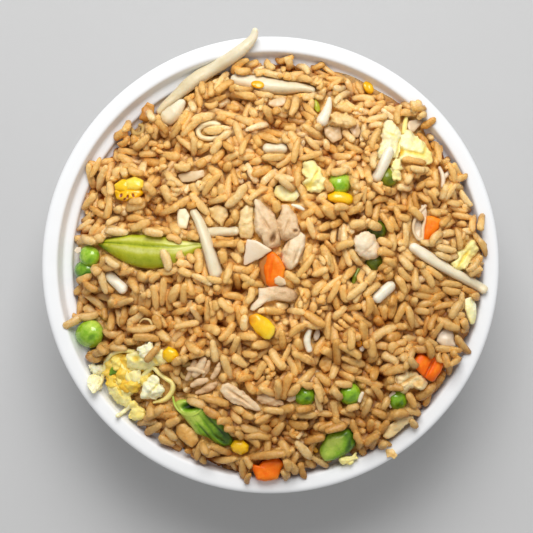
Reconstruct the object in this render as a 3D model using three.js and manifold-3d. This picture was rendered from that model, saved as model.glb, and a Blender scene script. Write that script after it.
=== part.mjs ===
// A white moulded bowl heaped with fried rice, and every vegetable, egg and meat piece that lies on it.
// Millimetres, +Z up. The origin is the centre of the bowl's flat base, which stands on z = 0.
import * as THREE from 'three';
import { mergeVertices } from 'three/addons/utils/BufferGeometryUtils.js';
import Module from 'manifold-3d';

const wasm = await Module();
wasm.setup();

// ---- Driving dimensions -------------------------------------------------------------------------------

const RIM_RADIUS = 75;
const BOWL_HEIGHT = 45;
const WALL = 1.8;
const BASE_RADIUS = 42;
const BASE_ROUNDING = 3.6;
const WALL_TOP_RADIUS = 63.2;
const WALL_TOP_HEIGHT = 37.4;
const WALL_BELLY = 1.3;
const WALL_STEPS = 3;
const SEAT_RADIUS = 65;
const SEAT_HEIGHT = 38.4;
const LEDGE_INNER_RADIUS = 65.4;
const LEDGE_OUTER_RADIUS = 68.4;
const LEDGE_HEIGHT = 40.4;
const LEDGE_RISE = 0.5;
const RIM_INNER_RADIUS = 69.9;
const LIP_WIDTH = 1.1;
const LIP_DROP = 2.4;
const BOWL_SIDES = 40;

const GAP = 0.32;
const HEAP_TOP = 56;
const EDGE_HEIGHT = 41.8;
const EDGE_HEIGHT_SWING = 2.4;
const EDGE_RADIUS = 67.5;
const EDGE_RADIUS_SWING = 2.2;
const FULL_SIDE = THREE.MathUtils.degToRad(-35);
const EDGE_FALL = 1.2;
const DOME_POWER = 2.2;
const SWELL_BROAD = { rise: 0.7, alongX: 8.5, alongY: 9.7 };
const SWELL_SLANTED = { rise: 0.4, along: 5.6 };
const FIELD_RADIUS = 72;
const FIELD_RINGS = 28;
const FIELD_FLOOR = 20;
const DENT_REACH = 1.22 * FIELD_RADIUS / FIELD_RINGS;
const DENT_STEP = 0.9;
const GRAIN_LENGTH = 7.4;
const GRAIN_WIDTH = 2.6;
const GRAIN_RISE = 1.7;
const GRAIN_RISE_LEAST = 0.6;
const GRAIN_SPACING = 3.7;
const GRAIN_JITTER = 0.5;
const FLAKE_RISE = 2.6;
const CLEAR_SKY = 90;

const PEA_SIZE = 7.6;

// ---- Looks --------------------------------------------------------------------------------------------

function look(color, roughness) {
  return new THREE.MeshStandardMaterial({ color, roughness, metalness: 0 });
}

const LOOKS = {
  bowl: look('#f2f1ee', 0.75),
  rice: look('#d8a66b', 0.5),
  sprout: look('#e8dcc4', 0.35),
  pea: look('#6fa31f', 0.3),
  corn: look('#f6bf20', 0.35),
  carrot: look('#e8661a', 0.4),
  pod: look('#8fa324', 0.4),
  egg: look('#f0dc8c', 0.55),
  nugget: look('#d9a655', 0.55),
  meat: look('#c9b39a', 0.55),
  onion: look('#ece0c8', 0.4),
};

// ---- Small tools --------------------------------------------------------------------------------------

// A repeatable stream of numbers from 0 to 1.
function seeded(seed) {
  let state = seed * 2654435761 + 1;
  return () => {
    state = (state + 0x6d2b79f5) | 0;
    let mixed = Math.imul(state ^ (state >>> 15), 1 | state);
    mixed = (mixed + Math.imul(mixed ^ (mixed >>> 7), 61 | mixed)) ^ mixed;
    return ((mixed ^ (mixed >>> 14)) >>> 0) / 4294967296;
  };
}

// Position only, with shared vertices and no collapsed faces.
function weld(geometry) {
  geometry.deleteAttribute('normal');
  geometry.deleteAttribute('uv');
  const welded = mergeVertices(geometry, 1e-4);
  const index = welded.getIndex().array;
  const kept = [];
  for (let i = 0; i < index.length; i += 3) {
    const [a, b, c] = [index[i], index[i + 1], index[i + 2]];
    if (a !== b && b !== c && c !== a) {
      kept.push(a, b, c);
    }
  }
  welded.setIndex(kept);
  return welded;
}

function solidOf(geometry) {
  return new wasm.Manifold(new wasm.Mesh({
    numProp: 3,
    vertProperties: new Float32Array(geometry.getAttribute('position').array),
    triVerts: new Uint32Array(geometry.getIndex().array),
  }));
}

function geometryOf(solid) {
  const mesh = solid.getMesh();
  const geometry = new THREE.BufferGeometry();
  geometry.setAttribute('position', new THREE.Float32BufferAttribute(mesh.vertProperties, 3));
  geometry.setIndex(Array.from(mesh.triVerts));
  geometry.computeVertexNormals();
  return geometry;
}

function largestOf(solid) {
  return solid.decompose().reduce((most, next) => (next.volume() > most.volume() ? next : most));
}

// Every point moved by a function of its place.
function reshape(geometry, move) {
  const position = geometry.getAttribute('position');
  const point = new THREE.Vector3();
  for (let i = 0; i < position.count; i += 1) {
    point.fromBufferAttribute(position, i);
    move(point);
    position.setXYZ(i, point.x, point.y, point.z);
  }
  return geometry;
}

// The same body with each face moved out by `gap`: a corner goes further along its mean normal.
function grown(geometry, gap) {
  const larger = geometry.clone();
  larger.computeVertexNormals();
  const normals = larger.getAttribute('normal');
  const position = larger.getAttribute('position');
  const index = larger.getIndex().array;
  const leastDot = new Float32Array(position.count).fill(1);
  const corners = [new THREE.Vector3(), new THREE.Vector3(), new THREE.Vector3()];
  const face = new THREE.Triangle();
  const faceNormal = new THREE.Vector3();
  const normal = new THREE.Vector3();
  for (let i = 0; i < index.length; i += 3) {
    corners.forEach((corner, k) => corner.fromBufferAttribute(position, index[i + k]));
    face.set(...corners).getNormal(faceNormal);
    for (let k = 0; k < 3; k += 1) {
      const vertex = index[i + k];
      const dot = normal.fromBufferAttribute(normals, vertex).dot(faceNormal);
      leastDot[vertex] = Math.min(leastDot[vertex], dot);
    }
  }
  for (let i = 0; i < position.count; i += 1) {
    const reach = gap / Math.max(leastDot[i], 0.45);
    normal.fromBufferAttribute(normals, i).multiplyScalar(reach);
    position.setXYZ(i, position.getX(i) + normal.x, position.getY(i) + normal.y, position.getZ(i) + normal.z);
  }
  larger.deleteAttribute('normal');
  return larger;
}

// ---- Bowl ---------------------------------------------------------------------------------------------

// The inner face from the middle of the floor to the edge of the flat rim: a rounded foot, a wall that
// bellies outwards, a narrow seat, a step up to the lid ledge and a steeper step up to the rim.
function innerFace() {
  const points = [
    new THREE.Vector2(0, WALL),
    new THREE.Vector2(BASE_RADIUS - BASE_ROUNDING, WALL),
    new THREE.Vector2(BASE_RADIUS, WALL + 0.4 * BASE_ROUNDING),
  ];
  const foot = new THREE.Vector2(BASE_RADIUS + 0.55 * BASE_ROUNDING, WALL + 1.2 * BASE_ROUNDING);
  for (let step = 0; step <= WALL_STEPS; step += 1) {
    const share = step / WALL_STEPS;
    const radius = THREE.MathUtils.lerp(foot.x, WALL_TOP_RADIUS, 1 - (1 - share) ** WALL_BELLY);
    points.push(new THREE.Vector2(radius, THREE.MathUtils.lerp(foot.y, WALL_TOP_HEIGHT, share)));
  }
  points.push(
    new THREE.Vector2(SEAT_RADIUS, SEAT_HEIGHT),
    new THREE.Vector2(LEDGE_INNER_RADIUS, LEDGE_HEIGHT),
    new THREE.Vector2(LEDGE_OUTER_RADIUS, LEDGE_HEIGHT + LEDGE_RISE),
    new THREE.Vector2(RIM_INNER_RADIUS, BOWL_HEIGHT),
    new THREE.Vector2(RIM_RADIUS - LIP_WIDTH, BOWL_HEIGHT),
  );
  return points;
}

// A line beside another, to its right by `distance`, with mitred corners.
function beside(points, distance) {
  const right = (from, to) => new THREE.Vector2(to.y - from.y, from.x - to.x).normalize();
  return points.map((point, i) => {
    const before = right(points[Math.max(i - 1, 0)], points[Math.max(i, 1)]);
    const after = right(points[Math.min(i, points.length - 2)], points[Math.min(i + 1, points.length - 1)]);
    const mitre = before.clone().add(after).normalize();
    return point.clone().addScaledVector(mitre, distance / mitre.dot(before));
  });
}

function turned(points, sides) {
  const geometry = weld(new THREE.LatheGeometry(points, sides));
  return geometry.rotateX(Math.PI / 2);
}

function bowlGeometry() {
  const inner = innerFace();
  const outer = beside(inner, WALL).reverse();
  const lip = [
    new THREE.Vector2(RIM_RADIUS, BOWL_HEIGHT - LIP_WIDTH * 0.7),
    new THREE.Vector2(RIM_RADIUS, BOWL_HEIGHT - LIP_DROP),
  ];
  return turned([...inner, ...lip, ...outer].reverse(), BOWL_SIDES);
}

// Everything over the bowl's inner face and rim, GAP clear of them: food stays in this space.
function freeSpace() {
  const clear = beside(innerFace(), -GAP);
  const rimTop = clear[clear.length - 1];
  const outline = [
    ...clear,
    new THREE.Vector2(CLEAR_SKY, rimTop.y),
    new THREE.Vector2(CLEAR_SKY, CLEAR_SKY),
    new THREE.Vector2(0, CLEAR_SKY),
  ];
  return solidOf(turned(outline, BOWL_SIDES));
}

// ---- Rice ---------------------------------------------------------------------------------------------

// The heap's mean surface: a dome that reaches the rim on its full side and the ledge's inner edge on
// the other, with slow swells.
function heapSurface(x, y) {
  const swing = Math.cos(Math.atan2(y, x) - FULL_SIDE);
  const edgeRadius = EDGE_RADIUS + EDGE_RADIUS_SWING * swing;
  const edgeHeight = EDGE_HEIGHT + EDGE_HEIGHT_SWING * swing;
  const radius = Math.hypot(x, y);
  if (radius > edgeRadius) {
    return edgeHeight - EDGE_FALL * (radius - edgeRadius);
  }
  const share = radius / edgeRadius;
  const broad = SWELL_BROAD.rise * Math.sin(x / SWELL_BROAD.alongX) * Math.cos(y / SWELL_BROAD.alongY);
  const swell = broad + SWELL_SLANTED.rise * Math.sin((x + y) / SWELL_SLANTED.along);
  return edgeHeight + (HEAP_TOP - edgeHeight) * (1 - share ** DOME_POWER) + swell * (1 - share ** 4);
}

// What a topping lies on: the heap, or the bowl's ledge, step or rim where that is higher.
function ground(x, y) {
  const radius = Math.hypot(x, y);
  const heap = heapSurface(x, y);
  if (radius < LEDGE_INNER_RADIUS) {
    return heap;
  }
  const step = THREE.MathUtils.mapLinear(radius, LEDGE_OUTER_RADIUS, RIM_INNER_RADIUS, 0, 1);
  const ledge = LEDGE_HEIGHT + LEDGE_RISE;
  const bowlTop = THREE.MathUtils.lerp(ledge, BOWL_HEIGHT, THREE.MathUtils.clamp(step, 0, 1));
  return Math.max(heap, bowlTop + GAP);
}

// Flakes and crumbs too small for pieces of their own, part of the rice.
const FLAKES = [
  { at: [47.5, 46.6], width: 5, length: 6.5 },
  { at: [20.4, 42.2], width: 5.3, length: 5.5 },
  { at: [2.3, 52.9], width: 6.3, length: 3 },
  { at: [-39, -45.9], width: 3.8, length: 3.8 },
  { at: [-16.4, 17.1], width: 5.3, length: 4.5 },
  { at: [65.7, -15.8], width: 4.7, length: 7 },
  { at: [4.5, 23.3], width: 7, length: 6 },
  { at: [-28.8, 14.9], width: 3.8, length: 5.8 },
  { at: [18, -32], width: 4.7, length: 6.6 },
  { at: [27.7, -3.4], width: 2.4, length: 6 },
  { at: [-27.6, -34.9], width: 5, length: 5.2 },
];

// Grains in a jittered triangular pattern, each with its own turn and rise, and the flakes among them.
function grainField() {
  const random = seeded(11);
  const rowStep = GRAIN_SPACING * Math.sqrt(3) / 2;
  const jitter = () => GRAIN_JITTER * (random() - 0.5);
  const lastColumn = Math.ceil(FIELD_RADIUS / GRAIN_SPACING);
  const lastRow = Math.ceil(FIELD_RADIUS / rowStep);
  const grains = [];
  for (let row = -lastRow; row <= lastRow; row += 1) {
    for (let column = -lastColumn; column <= lastColumn; column += 1) {
      const x = (column + 0.5 * (row & 1) + jitter()) * GRAIN_SPACING;
      const y = row * rowStep + jitter() * GRAIN_SPACING;
      const turn = random() * Math.PI;
      const rise = THREE.MathUtils.lerp(GRAIN_RISE_LEAST, GRAIN_RISE, random());
      grains.push({ x, y, turn, rise, length: GRAIN_LENGTH, width: GRAIN_WIDTH });
    }
  }
  const flakes = FLAKES.map(({ at: [x, y], width, length }) => (
    { x, y, turn: Math.PI / 2, rise: FLAKE_RISE, length, width }
  ));
  return [...grains, ...flakes];
}

// How far the grains stand over the mean surface at a place: the highest half-ellipsoid there.
function grainRise(grains, x, y) {
  let highest = 0;
  for (const grain of grains) {
    const dx = x - grain.x;
    const dy = y - grain.y;
    const along = (dx * Math.cos(grain.turn) + dy * Math.sin(grain.turn)) / (grain.length / 2);
    const across = (dy * Math.cos(grain.turn) - dx * Math.sin(grain.turn)) / (grain.width / 2);
    const inside = 1 - along * along - across * across;
    if (inside > 0) {
      highest = Math.max(highest, grain.rise * Math.sqrt(inside));
    }
  }
  return highest;
}

// Points all over a body's faces, no further than `step` apart.
function spreadPoints(geometry, step) {
  const position = geometry.getAttribute('position');
  const index = geometry.getIndex().array;
  const [a, b, c] = [new THREE.Vector3(), new THREE.Vector3(), new THREE.Vector3()];
  const points = [];
  for (let i = 0; i < index.length; i += 3) {
    [a, b, c].forEach((corner, k) => corner.fromBufferAttribute(position, index[i + k]));
    const parts = Math.ceil(Math.max(a.distanceTo(b), b.distanceTo(c), c.distanceTo(a)) / step);
    for (let m = 0; m <= parts; m += 1) {
      for (let n = 0; n <= parts - m; n += 1) {
        const point = a.clone().addScaledVector(b, m / parts).addScaledVector(c, n / parts);
        points.push(point.addScaledVector(a, -(m + n) / parts));
      }
    }
  }
  return points;
}

// The height at a place of the rice's relief, dented to stay GAP under every topping within reach, so
// that no face between two such places meets one.
function riceHeight(grains, pieces, x, y) {
  let height = heapSurface(x, y) + grainRise(grains, x, y);
  for (const { box, points } of pieces) {
    const aside = Math.max(box.min[0] - x, x - box.max[0], box.min[1] - y, y - box.max[1]);
    if (aside < DENT_REACH) {
      for (const point of points) {
        if (point.z - GAP < height && Math.hypot(point.x - x, point.y - y) < DENT_REACH) {
          height = point.z - GAP;
        }
      }
    }
  }
  return height;
}

// Rings of six more vertices each, every one at the rice's height, closed by a fan far below.
function heapGeometry(pieces) {
  const grains = grainField();
  const vertices = [0, 0, riceHeight(grains, pieces, 0, 0)];
  const triangles = [];
  const firstOf = (ring) => (ring === 0 ? 0 : 1 + 3 * ring * (ring - 1));
  for (let ring = 1; ring <= FIELD_RINGS; ring += 1) {
    const radius = FIELD_RADIUS * ring / FIELD_RINGS;
    const count = 6 * ring;
    for (let k = 0; k < count; k += 1) {
      const angle = 2 * Math.PI * k / count;
      const x = radius * Math.cos(angle);
      const y = radius * Math.sin(angle);
      vertices.push(x, y, riceHeight(grains, pieces, x, y));
    }
    const outer = (k) => firstOf(ring) + (k % count);
    const inner = (k) => (ring === 1 ? 0 : firstOf(ring - 1) + (k % (count - 6)));
    for (let side = 0; side < 6; side += 1) {
      for (let k = 0; k < ring; k += 1) {
        const out = side * ring + k;
        const within = side * (ring - 1) + k;
        triangles.push(outer(out), outer(out + 1), inner(within));
        if (k < ring - 1) {
          triangles.push(outer(out + 1), inner(within + 1), inner(within));
        }
      }
    }
  }
  const rim = firstOf(FIELD_RINGS);
  const rimCount = 6 * FIELD_RINGS;
  const below = vertices.length / 3;
  vertices.push(0, 0, -FIELD_FLOOR);
  for (let k = 0; k < rimCount; k += 1) {
    triangles.push(rim + ((k + 1) % rimCount), rim + k, below);
  }
  const geometry = new THREE.BufferGeometry();
  geometry.setAttribute('position', new THREE.Float32BufferAttribute(vertices, 3));
  geometry.setIndex(triangles);
  return geometry;
}

// ---- Shapes of the toppings ---------------------------------------------------------------------------

// A body laid on the heap: turned about the vertical, leant with the slope and lifted off the ground.
function seat(geometry, [x, y], turn = 0, lift = 0) {
  const step = 2;
  const slope = new THREE.Vector3(
    heapSurface(x - step, y) - heapSurface(x + step, y),
    heapSurface(x, y - step) - heapSurface(x, y + step),
    2 * step,
  ).normalize();
  const upright = new THREE.Quaternion().setFromUnitVectors(new THREE.Vector3(0, 0, 1), slope);
  geometry.rotateZ(THREE.MathUtils.degToRad(turn));
  geometry.applyQuaternion(upright);
  return geometry.translate(x, y, ground(x, y) + lift);
}

// A lumpy ellipsoid of the given width, length and height. `square` flattens its sides, `taper` narrows
// the far end, and `rough` is the share by which seeded waves raise and lower its surface.
function lump([width, length, height], seed, { rough = 0.05, square = 2, taper = 0, detail = 1 } = {}) {
  const random = seeded(seed);
  const waves = [0, 1, 2, 3, 4].map(() => ({
    way: new THREE.Vector3(random() - 0.5, random() - 0.5, random() - 0.5).multiplyScalar(9),
    phase: random() * 2 * Math.PI,
  }));
  return reshape(weld(new THREE.IcosahedronGeometry(1, detail)), (point) => {
    const wave = waves.reduce((sum, { way, phase }) => sum + Math.sin(point.dot(way) + phase), 0);
    const norm = (Math.abs(point.x) ** square + Math.abs(point.y) ** square
      + Math.abs(point.z) ** square) ** (1 / square);
    point.multiplyScalar((1 + rough * wave / 2) / norm);
    const narrowing = 1 - taper * (point.y + 1) / 2;
    point.set(point.x * width * narrowing / 2, point.y * length / 2, point.z * height / 2);
  });
}

// A cut block with bevelled edges: a quadrilateral of uneven corners, pushed up to its height.
function block([width, length, height], seed, bevel = 0.7) {
  const random = seeded(seed);
  const uneven = () => 0.84 + 0.16 * random();
  const corners = [[-1, -1], [1, -1], [1, 1], [-1, 1]].map(([sx, sy]) => new THREE.Vector2(
    sx * (width / 2 - bevel) * uneven(),
    sy * (length / 2 - bevel) * uneven(),
  ));
  const geometry = new THREE.ExtrudeGeometry(new THREE.Shape(corners), {
    depth: height - 2 * bevel,
    bevelThickness: bevel,
    bevelSize: bevel,
    bevelSegments: 1,
  });
  return weld(geometry.translate(0, 0, bevel - height / 2));
}

// A thin slice with the given outline and a slight bend across it.
function slice(outline, thickness, bend = 0) {
  const bevel = thickness * 0.3;
  const shape = new THREE.Shape(outline.map(([x, y]) => new THREE.Vector2(x, y)));
  const geometry = new THREE.ExtrudeGeometry(shape, {
    depth: thickness - 2 * bevel,
    bevelThickness: bevel,
    bevelSize: bevel,
    bevelSegments: 1,
    bevelOffset: -bevel,
  });
  geometry.translate(0, 0, bevel - thickness / 2);
  return reshape(weld(geometry), (point) => {
    point.z -= bend * point.x * point.x;
  });
}

// A round or flattened stem along a curve through `route`, with a radius for each of its equal stretches
// and rounded ends. A route point is x, y and, where it isn't the usual one, the lift over the ground.
function stem(route, radii, { flat = 1, sides = 6, steps = 9, lift = 1.3 } = {}) {
  const curve = new THREE.CatmullRomCurve3(route.map(([x, y, ownLift = lift]) => (
    new THREE.Vector3(x, y, ground(x, y) + ownLift)
  )));
  const radiusAt = (share) => {
    const place = share * (radii.length - 1);
    const first = Math.min(Math.floor(place), radii.length - 2);
    return THREE.MathUtils.lerp(radii[first], radii[first + 1], place - first);
  };
  const length = curve.getLength();
  const profile = [new THREE.Vector2(0, 0)];
  for (let step = 0; step <= steps; step += 1) {
    const end = 0.35 * radiusAt(step / steps) / length;
    const share = THREE.MathUtils.lerp(end, 1 - end, step / steps);
    const rounding = step === 0 || step === steps ? 0.75 : 1;
    profile.push(new THREE.Vector2(radiusAt(share) * rounding, share));
  }
  profile.push(new THREE.Vector2(0, 1));
  const up = new THREE.Vector3(0, 0, 1);
  return reshape(weld(new THREE.LatheGeometry(profile, sides)), (point) => {
    const share = THREE.MathUtils.clamp(point.y, 0, 1);
    const along = curve.getTangentAt(share);
    const side = new THREE.Vector3().crossVectors(up, along).normalize();
    const top = new THREE.Vector3().crossVectors(along, side);
    const { x, z } = point;
    point.copy(curve.getPointAt(share)).addScaledVector(side, z).addScaledVector(top, x * flat);
  });
}

function joined(...geometries) {
  const solid = geometries.map(solidOf).reduce((sum, next) => sum.add(next));
  return weld(geometryOf(largestOf(solid)));
}

// ---- Laying the toppings ------------------------------------------------------------------------------

const food = freeSpace();
const laid = [];

function boxesMeet(one, other) {
  return [0, 1, 2].every((axis) => one.min[axis] <= other.max[axis] && other.min[axis] <= one.max[axis]);
}

// The pieces are laid from the top down: each makes room for those over it and for the bowl.
function lay(name, material, geometry) {
  const box = solidOf(geometry).boundingBox();
  const above = laid.filter((piece) => boxesMeet(box, piece.box)).map((piece) => piece.room);
  const cut = above.reduce((left, room) => left.subtract(room), solidOf(geometry)).intersect(food);
  const solid = largestOf(cut);
  const room = solidOf(grown(geometry, GAP));
  const points = spreadPoints(geometryOf(solid), DENT_STEP);
  laid.push({ name, material, solid, room, points, box: room.boundingBox() });
}

const [sprout, pea, corn, carrot] = [LOOKS.sprout, LOOKS.pea, LOOKS.corn, LOOKS.carrot];
const { pod, egg, nugget, meat, onion } = LOOKS;

// Bean sprouts: long white stems. The first and the tenth run out over the rim.
lay('sprout_01', sprout, stem([
  [-37.1, 51, 1.2], [-31.5, 55.4, 1.6], [-25.2, 60.2, 2.2], [-18.8, 64.6, 2.3],
  [-11.2, 69.1, 2.1], [-5.8, 74.3, 2.6], [-4.8, 77.7, 3.6],
], [1.7, 2.1, 2.2, 2.1, 1.9, 1.5, 1.1], { steps: 12 }));
lay('sprout_02', sprout, stem([[-35.6, 46.1], [-29, 51.7], [-28, 54.5]], [2.2, 2.4, 2], { steps: 5 }));
lay('sprout_03', sprout, stem([
  [-13.1, 61.3], [-6.2, 59.8], [0.1, 58.4], [5.2, 57.9], [14.1, 56.9],
], [1.8, 2.2, 2.4, 2.1, 1.2], { steps: 9 }));
lay('sprout_04', sprout, stem([[19, 55.2], [18.2, 50.4], [16.7, 45.7]], [1.4, 1.6, 1.3], { steps: 5 }));
lay('sprout_05', sprout, stem([[-2.7, 37.5], [5.5, 37.5]], [1.5, 1.7, 1.4], { steps: 4 }));
lay('sprout_06', sprout, stem([
  [40.3, 38.2, 4.2], [37.4, 33.3, 3.4], [34, 28.1, 1.6],
], [1.5, 1.9, 1.6], { steps: 6 }));
lay('sprout_07', sprout, stem([
  [-24.7, 18.3], [-22.4, 13.9], [-20.9, 9.4, 1.6], [-19.9, 4.5], [-18.6, -4.2],
], [1.1, 1.6, 1.9, 2, 1.8], { steps: 9, lift: 1.8 }));
lay('sprout_08', sprout, stem([[-21.7, 10.3, -0.4], [-10.1, 11, 1]], [1.4, 1.6, 1.4], { steps: 5 }));
lay('sprout_09', sprout, stem([[40, -5.7], [33.2, -11.6]], [1.5, 1.7, 1.5], { steps: 5 }));
lay('sprout_10', sprout, stem([
  [45.4, 6.2], [51.9, 1.9], [58.6, -2], [63.7, -4.7, 2.4], [68.1, -7, 1.6], [70.9, -9, 1.6],
], [1.3, 1.5, 1.5, 1.4, 1.2], { steps: 9 }));
lay('sprout_11', sprout, stem([[-53.6, -2.7], [-47, -8.6]], [1.3, 1.5, 1.3], { steps: 4 }));

// Green pods: a whole bean with a grooved seam, a short one split open at its end, and a cut piece.
lay('pod_whole', pod, stem([
  [-56.1, 7.3, 2.2], [-50, 6, 2], [-44, 4.9, 1.8], [-38.7, 4.3, 1.8], [-30, 4.6, 1.6], [-23.1, 6.3, 1.2],
], [0.8, 3.4, 4.7, 5.3, 4.6, 3.2, 1], { flat: 0.55, sides: 10, steps: 10 }));
lay('pod_split', pod, stem([
  [-28.1, -44.3, 1.6], [-21.5, -50.6, 1.8], [-14.1, -58.5, 1],
], [3.4, 4.1, 4.1, 3.2], { flat: 0.75, sides: 10, steps: 7 }));
lay('pod_piece', pod, seat(lump([12.1, 11.5, 6.2], 31, { rough: 0.1, square: 2.6 }), [22, -58.8], 20, 1.4));

// Onion slices and pale strips.
const triangle = [[-2.8, 4.5], [5.3, 1.7], [-3.1, -4.4]];
const oblong = [[-4.1, -2], [3.8, -2.4], [4.1, 1.6], [-3.6, 2.4]];
const chip = [[-2.1, -3.2], [2, -2.8], [2.1, 2.9], [-1.8, 3.2]];
lay('onion_01', onion, seat(slice(triangle, 1.3, 0.02), [-4.9, 3.7], 0, 2.3));
lay('onion_02', onion, seat(slice(oblong, 1.4, 0.03), [-25.6, 28.9], 12, 1.8));
lay('onion_03', onion, seat(slice(chip, 1.4, 0.05), [49.3, 16.8], -15, 1.8));

// Cooked meat: broken chunks with fibrous ends, strips and one smooth slice.
const chunk = { rough: 0.13, square: 2.6 };
lay('meat_02', meat, seat(lump([6.8, 11.2, 6], 52, chunk), [5.3, 13.6], -12, 1.4));
lay('meat_01', meat, seat(lump([8.1, 15.2, 5.4], 51, chunk), [-1.2, 12.9], 38, 1.4));
lay('meat_03', meat, seat(lump([7.9, 11.1, 6], 53, { rough: 0.08, square: 2.6 }), [7, 4.5], -8, 1.4));
lay('meat_04', meat, seat(lump([8.8, 8.9, 7.2], 54, { rough: 0.07 }), [30.5, 6.5], 0, 1.4));
lay('meat_05', meat, seat(lump([5.5, 14.5, 4.2], 55, { rough: 0.09, square: 2.8 }), [-9.5, -42.8], 52, 1.5));
lay('meat_06', meat, joined(
  seat(lump([6.3, 7.2, 4.4], 56, { rough: 0.1 }), [-22.6, -32.5], 10, 1.2),
  seat(lump([8.6, 5.2, 3.6], 57, { rough: 0.12 }), [-21.7, -37.6], -15, 1),
));
lay('meat_07', meat, seat(lump([8.6, 4.3, 3.6], 58, { rough: 0.09 }), [-1.2, -43.6], 8, 1.2));
lay('meat_08', meat, seat(slice([
  [-4.6, 3.6], [4.6, 3.3], [5.6, 2], [-0.4, -1.3], [-5.9, -3.3],
], 2.4, 0.02), [0.7, -11], 0, 1.7));

// Peas, and half a pea skin.
const peas = [
  [-59.3, 2.9, 1.05, 1.2], [-61.1, -1.9, 0.97, 0], [22.4, 26.2, 1, 1], [-59.2, -22.6, 1.13, 1.6],
  [11, -40.7, 0.97, 1], [25.7, -41.7, 0.95, 1.2], [41.4, -43.8, 0.92, 1.2], [38.2, 28.6, 0.84, 0],
  [34.4, 12.9, 0.84, 0], [34.4, 0.6, 0.84, 0.2],
];
peas.forEach(([x, y, scale, lift], i) => {
  const size = PEA_SIZE * scale;
  const round = lump([size, size, size], 70 + i, { rough: 0.012, detail: i === 3 ? 2 : 1 });
  lay(`pea_${String(i + 1).padStart(2, '0')}`, pea, seat(round, [x, y], 0, lift));
});

// Sweetcorn kernels: wide crown, narrow root.
const kernel = { rough: 0.03, square: 2.7, taper: 0.25 };
lay('corn_01', corn, seat(lump([6.5, 9, 5.4], 81, kernel), [22.4, 21.3], 94, 1.4));
lay('corn_02', corn, seat(lump([6, 9, 5], 82, kernel), [-2.5, -19.7], 135, 1.4));
lay('corn_03', corn, seat(lump([6, 6.5, 5], 83, kernel), [-32, -29.1], 20, 1.2));
lay('corn_04', corn, seat(lump([6, 5.5, 5], 84, kernel), [-10, -59.3], 0, 1.2));
lay('corn_05', corn, seat(lump([10.9, 9, 5], 85, { rough: 0.1, square: 2.7 }), [-46, 24.6], 15, 1.3));

// Carrot dice.
lay('carrot_01', carrot, seat(block([4.5, 9, 5], 91), [52.3, 11.6], -27, 1.4));
lay('carrot_02', carrot, seat(block([8.2, 10.6, 6], 92), [0.3, -2.2], 8, 0));
lay('carrot_03', carrot, seat(block([10.2, 9.2, 6.5], 93), [51.1, -33.3], 35, 1.6));
lay('carrot_04', carrot, seat(block([11.6, 8.3, 5.5], 94), [-1.2, -66.4], -6, 2.6));

// Scrambled egg: folded curds, a looped ribbon and a thin strand.
lay('egg_01', egg, joined(
  seat(lump([6.6, 11, 4.6], 101, { rough: 0.12 }), [39, 41.7], -14, 1.6),
  seat(lump([9.6, 10.5, 5.4], 102, { rough: 0.14, detail: 2 }), [47.1, 38.2], 10, 1.5),
  stem([[43.6, 43.2, 1.4], [44.4, 48.4, 1.4]], [1, 1], { sides: 5, steps: 3 }),
));
lay('egg_02', egg, seat(lump([8, 11, 5], 103, { rough: 0.13 }), [62.7, 2.7], -20, 1.6));
lay('egg_03', egg, seat(lump([8, 9, 4.4], 104, { rough: 0.14 }), [14.1, 28.5], 0, 1.4));
lay('egg_ribbon', egg, stem([
  [-37.7, -34.5, 2.2], [-34, -37.5, 2.4], [-30.7, -38.5, 2.2], [-31, -42, 2], [-35, -44, 2],
], [1, 1.3, 1.3, 1.2, 1], { flat: 1.2, steps: 8 }));
lay('egg_strand', egg, stem([
  [-56.1, -40.7], [-54.6, -38], [-53.9, -34.7], [-54.3, -31.7], [-52.6, -29.9], [-50.5, -29], [-45, -28.9],
], [0.7, 0.8, 0.8, 0.8, 0.6], { flat: 1.5, steps: 9, sides: 5, lift: 2.4 }));
lay('egg_06', egg, seat(lump([7.1, 7.9, 6], 105, { rough: 0.08 }), [-37.6, -40.1], 0, 2));
lay('egg_04', egg, seat(lump([11.6, 11, 5.6], 106, { rough: 0.14, detail: 2 }), [-48, -34.9], 0, 1.6));
lay('egg_05', egg, seat(lump([5, 5.4, 4.4], 107, { rough: 0.1 }), [-40.4, -27.6], 0, 1.5));
lay('egg_07', egg, joined(
  seat(lump([10.7, 5.6, 4.6], 108, { rough: 0.12 }), [-45.7, -47.4], -8, 1.6),
  seat(lump([5.8, 6.7, 4.6], 109, { rough: 0.1 }), [-49.3, -43.6], 0, 1.6),
));
lay('egg_08', egg, joined(
  seat(lump([4.6, 4.2, 3.8], 110, { rough: 0.08 }), [-57, -34], 0, 1.4),
  seat(lump([3.7, 6, 3.8], 111, { rough: 0.08 }), [-57.4, -38.4], 0, 1.4),
));
lay('egg_09', egg, seat(lump([7, 4, 3.6], 112, { rough: 0.1 }), [26.1, -63.4], 0, 1.6));
lay('curd_01', nugget, seat(lump([9, 6, 5], 113, { rough: 0.1 }), [23.1, 47.5], 12, 1.4));
lay('curd_02', nugget, seat(lump([9.4, 9.2, 5.6], 114, { rough: 0.09 }), [45, -37.2], 25, 1.2));

// A curled husk, open on one side.
lay('husk_ring', onion, stem([
  [-16.9, 45.4], [-20.5, 46.6], [-23.4, 44.4], [-22.4, 41.6], [-19.2, 41], [-16.8, 42.6],
], [0.7, 0.9, 0.9, 0.9, 0.7], { flat: 1.4, steps: 9, sides: 5, lift: 1.6 }));

// ---- The whole ----------------------------------------------------------------------------------------

// The relief down to the bowl's inner face.
function riceSolid() {
  return largestOf(solidOf(heapGeometry(laid)).intersect(food));
}

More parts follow.
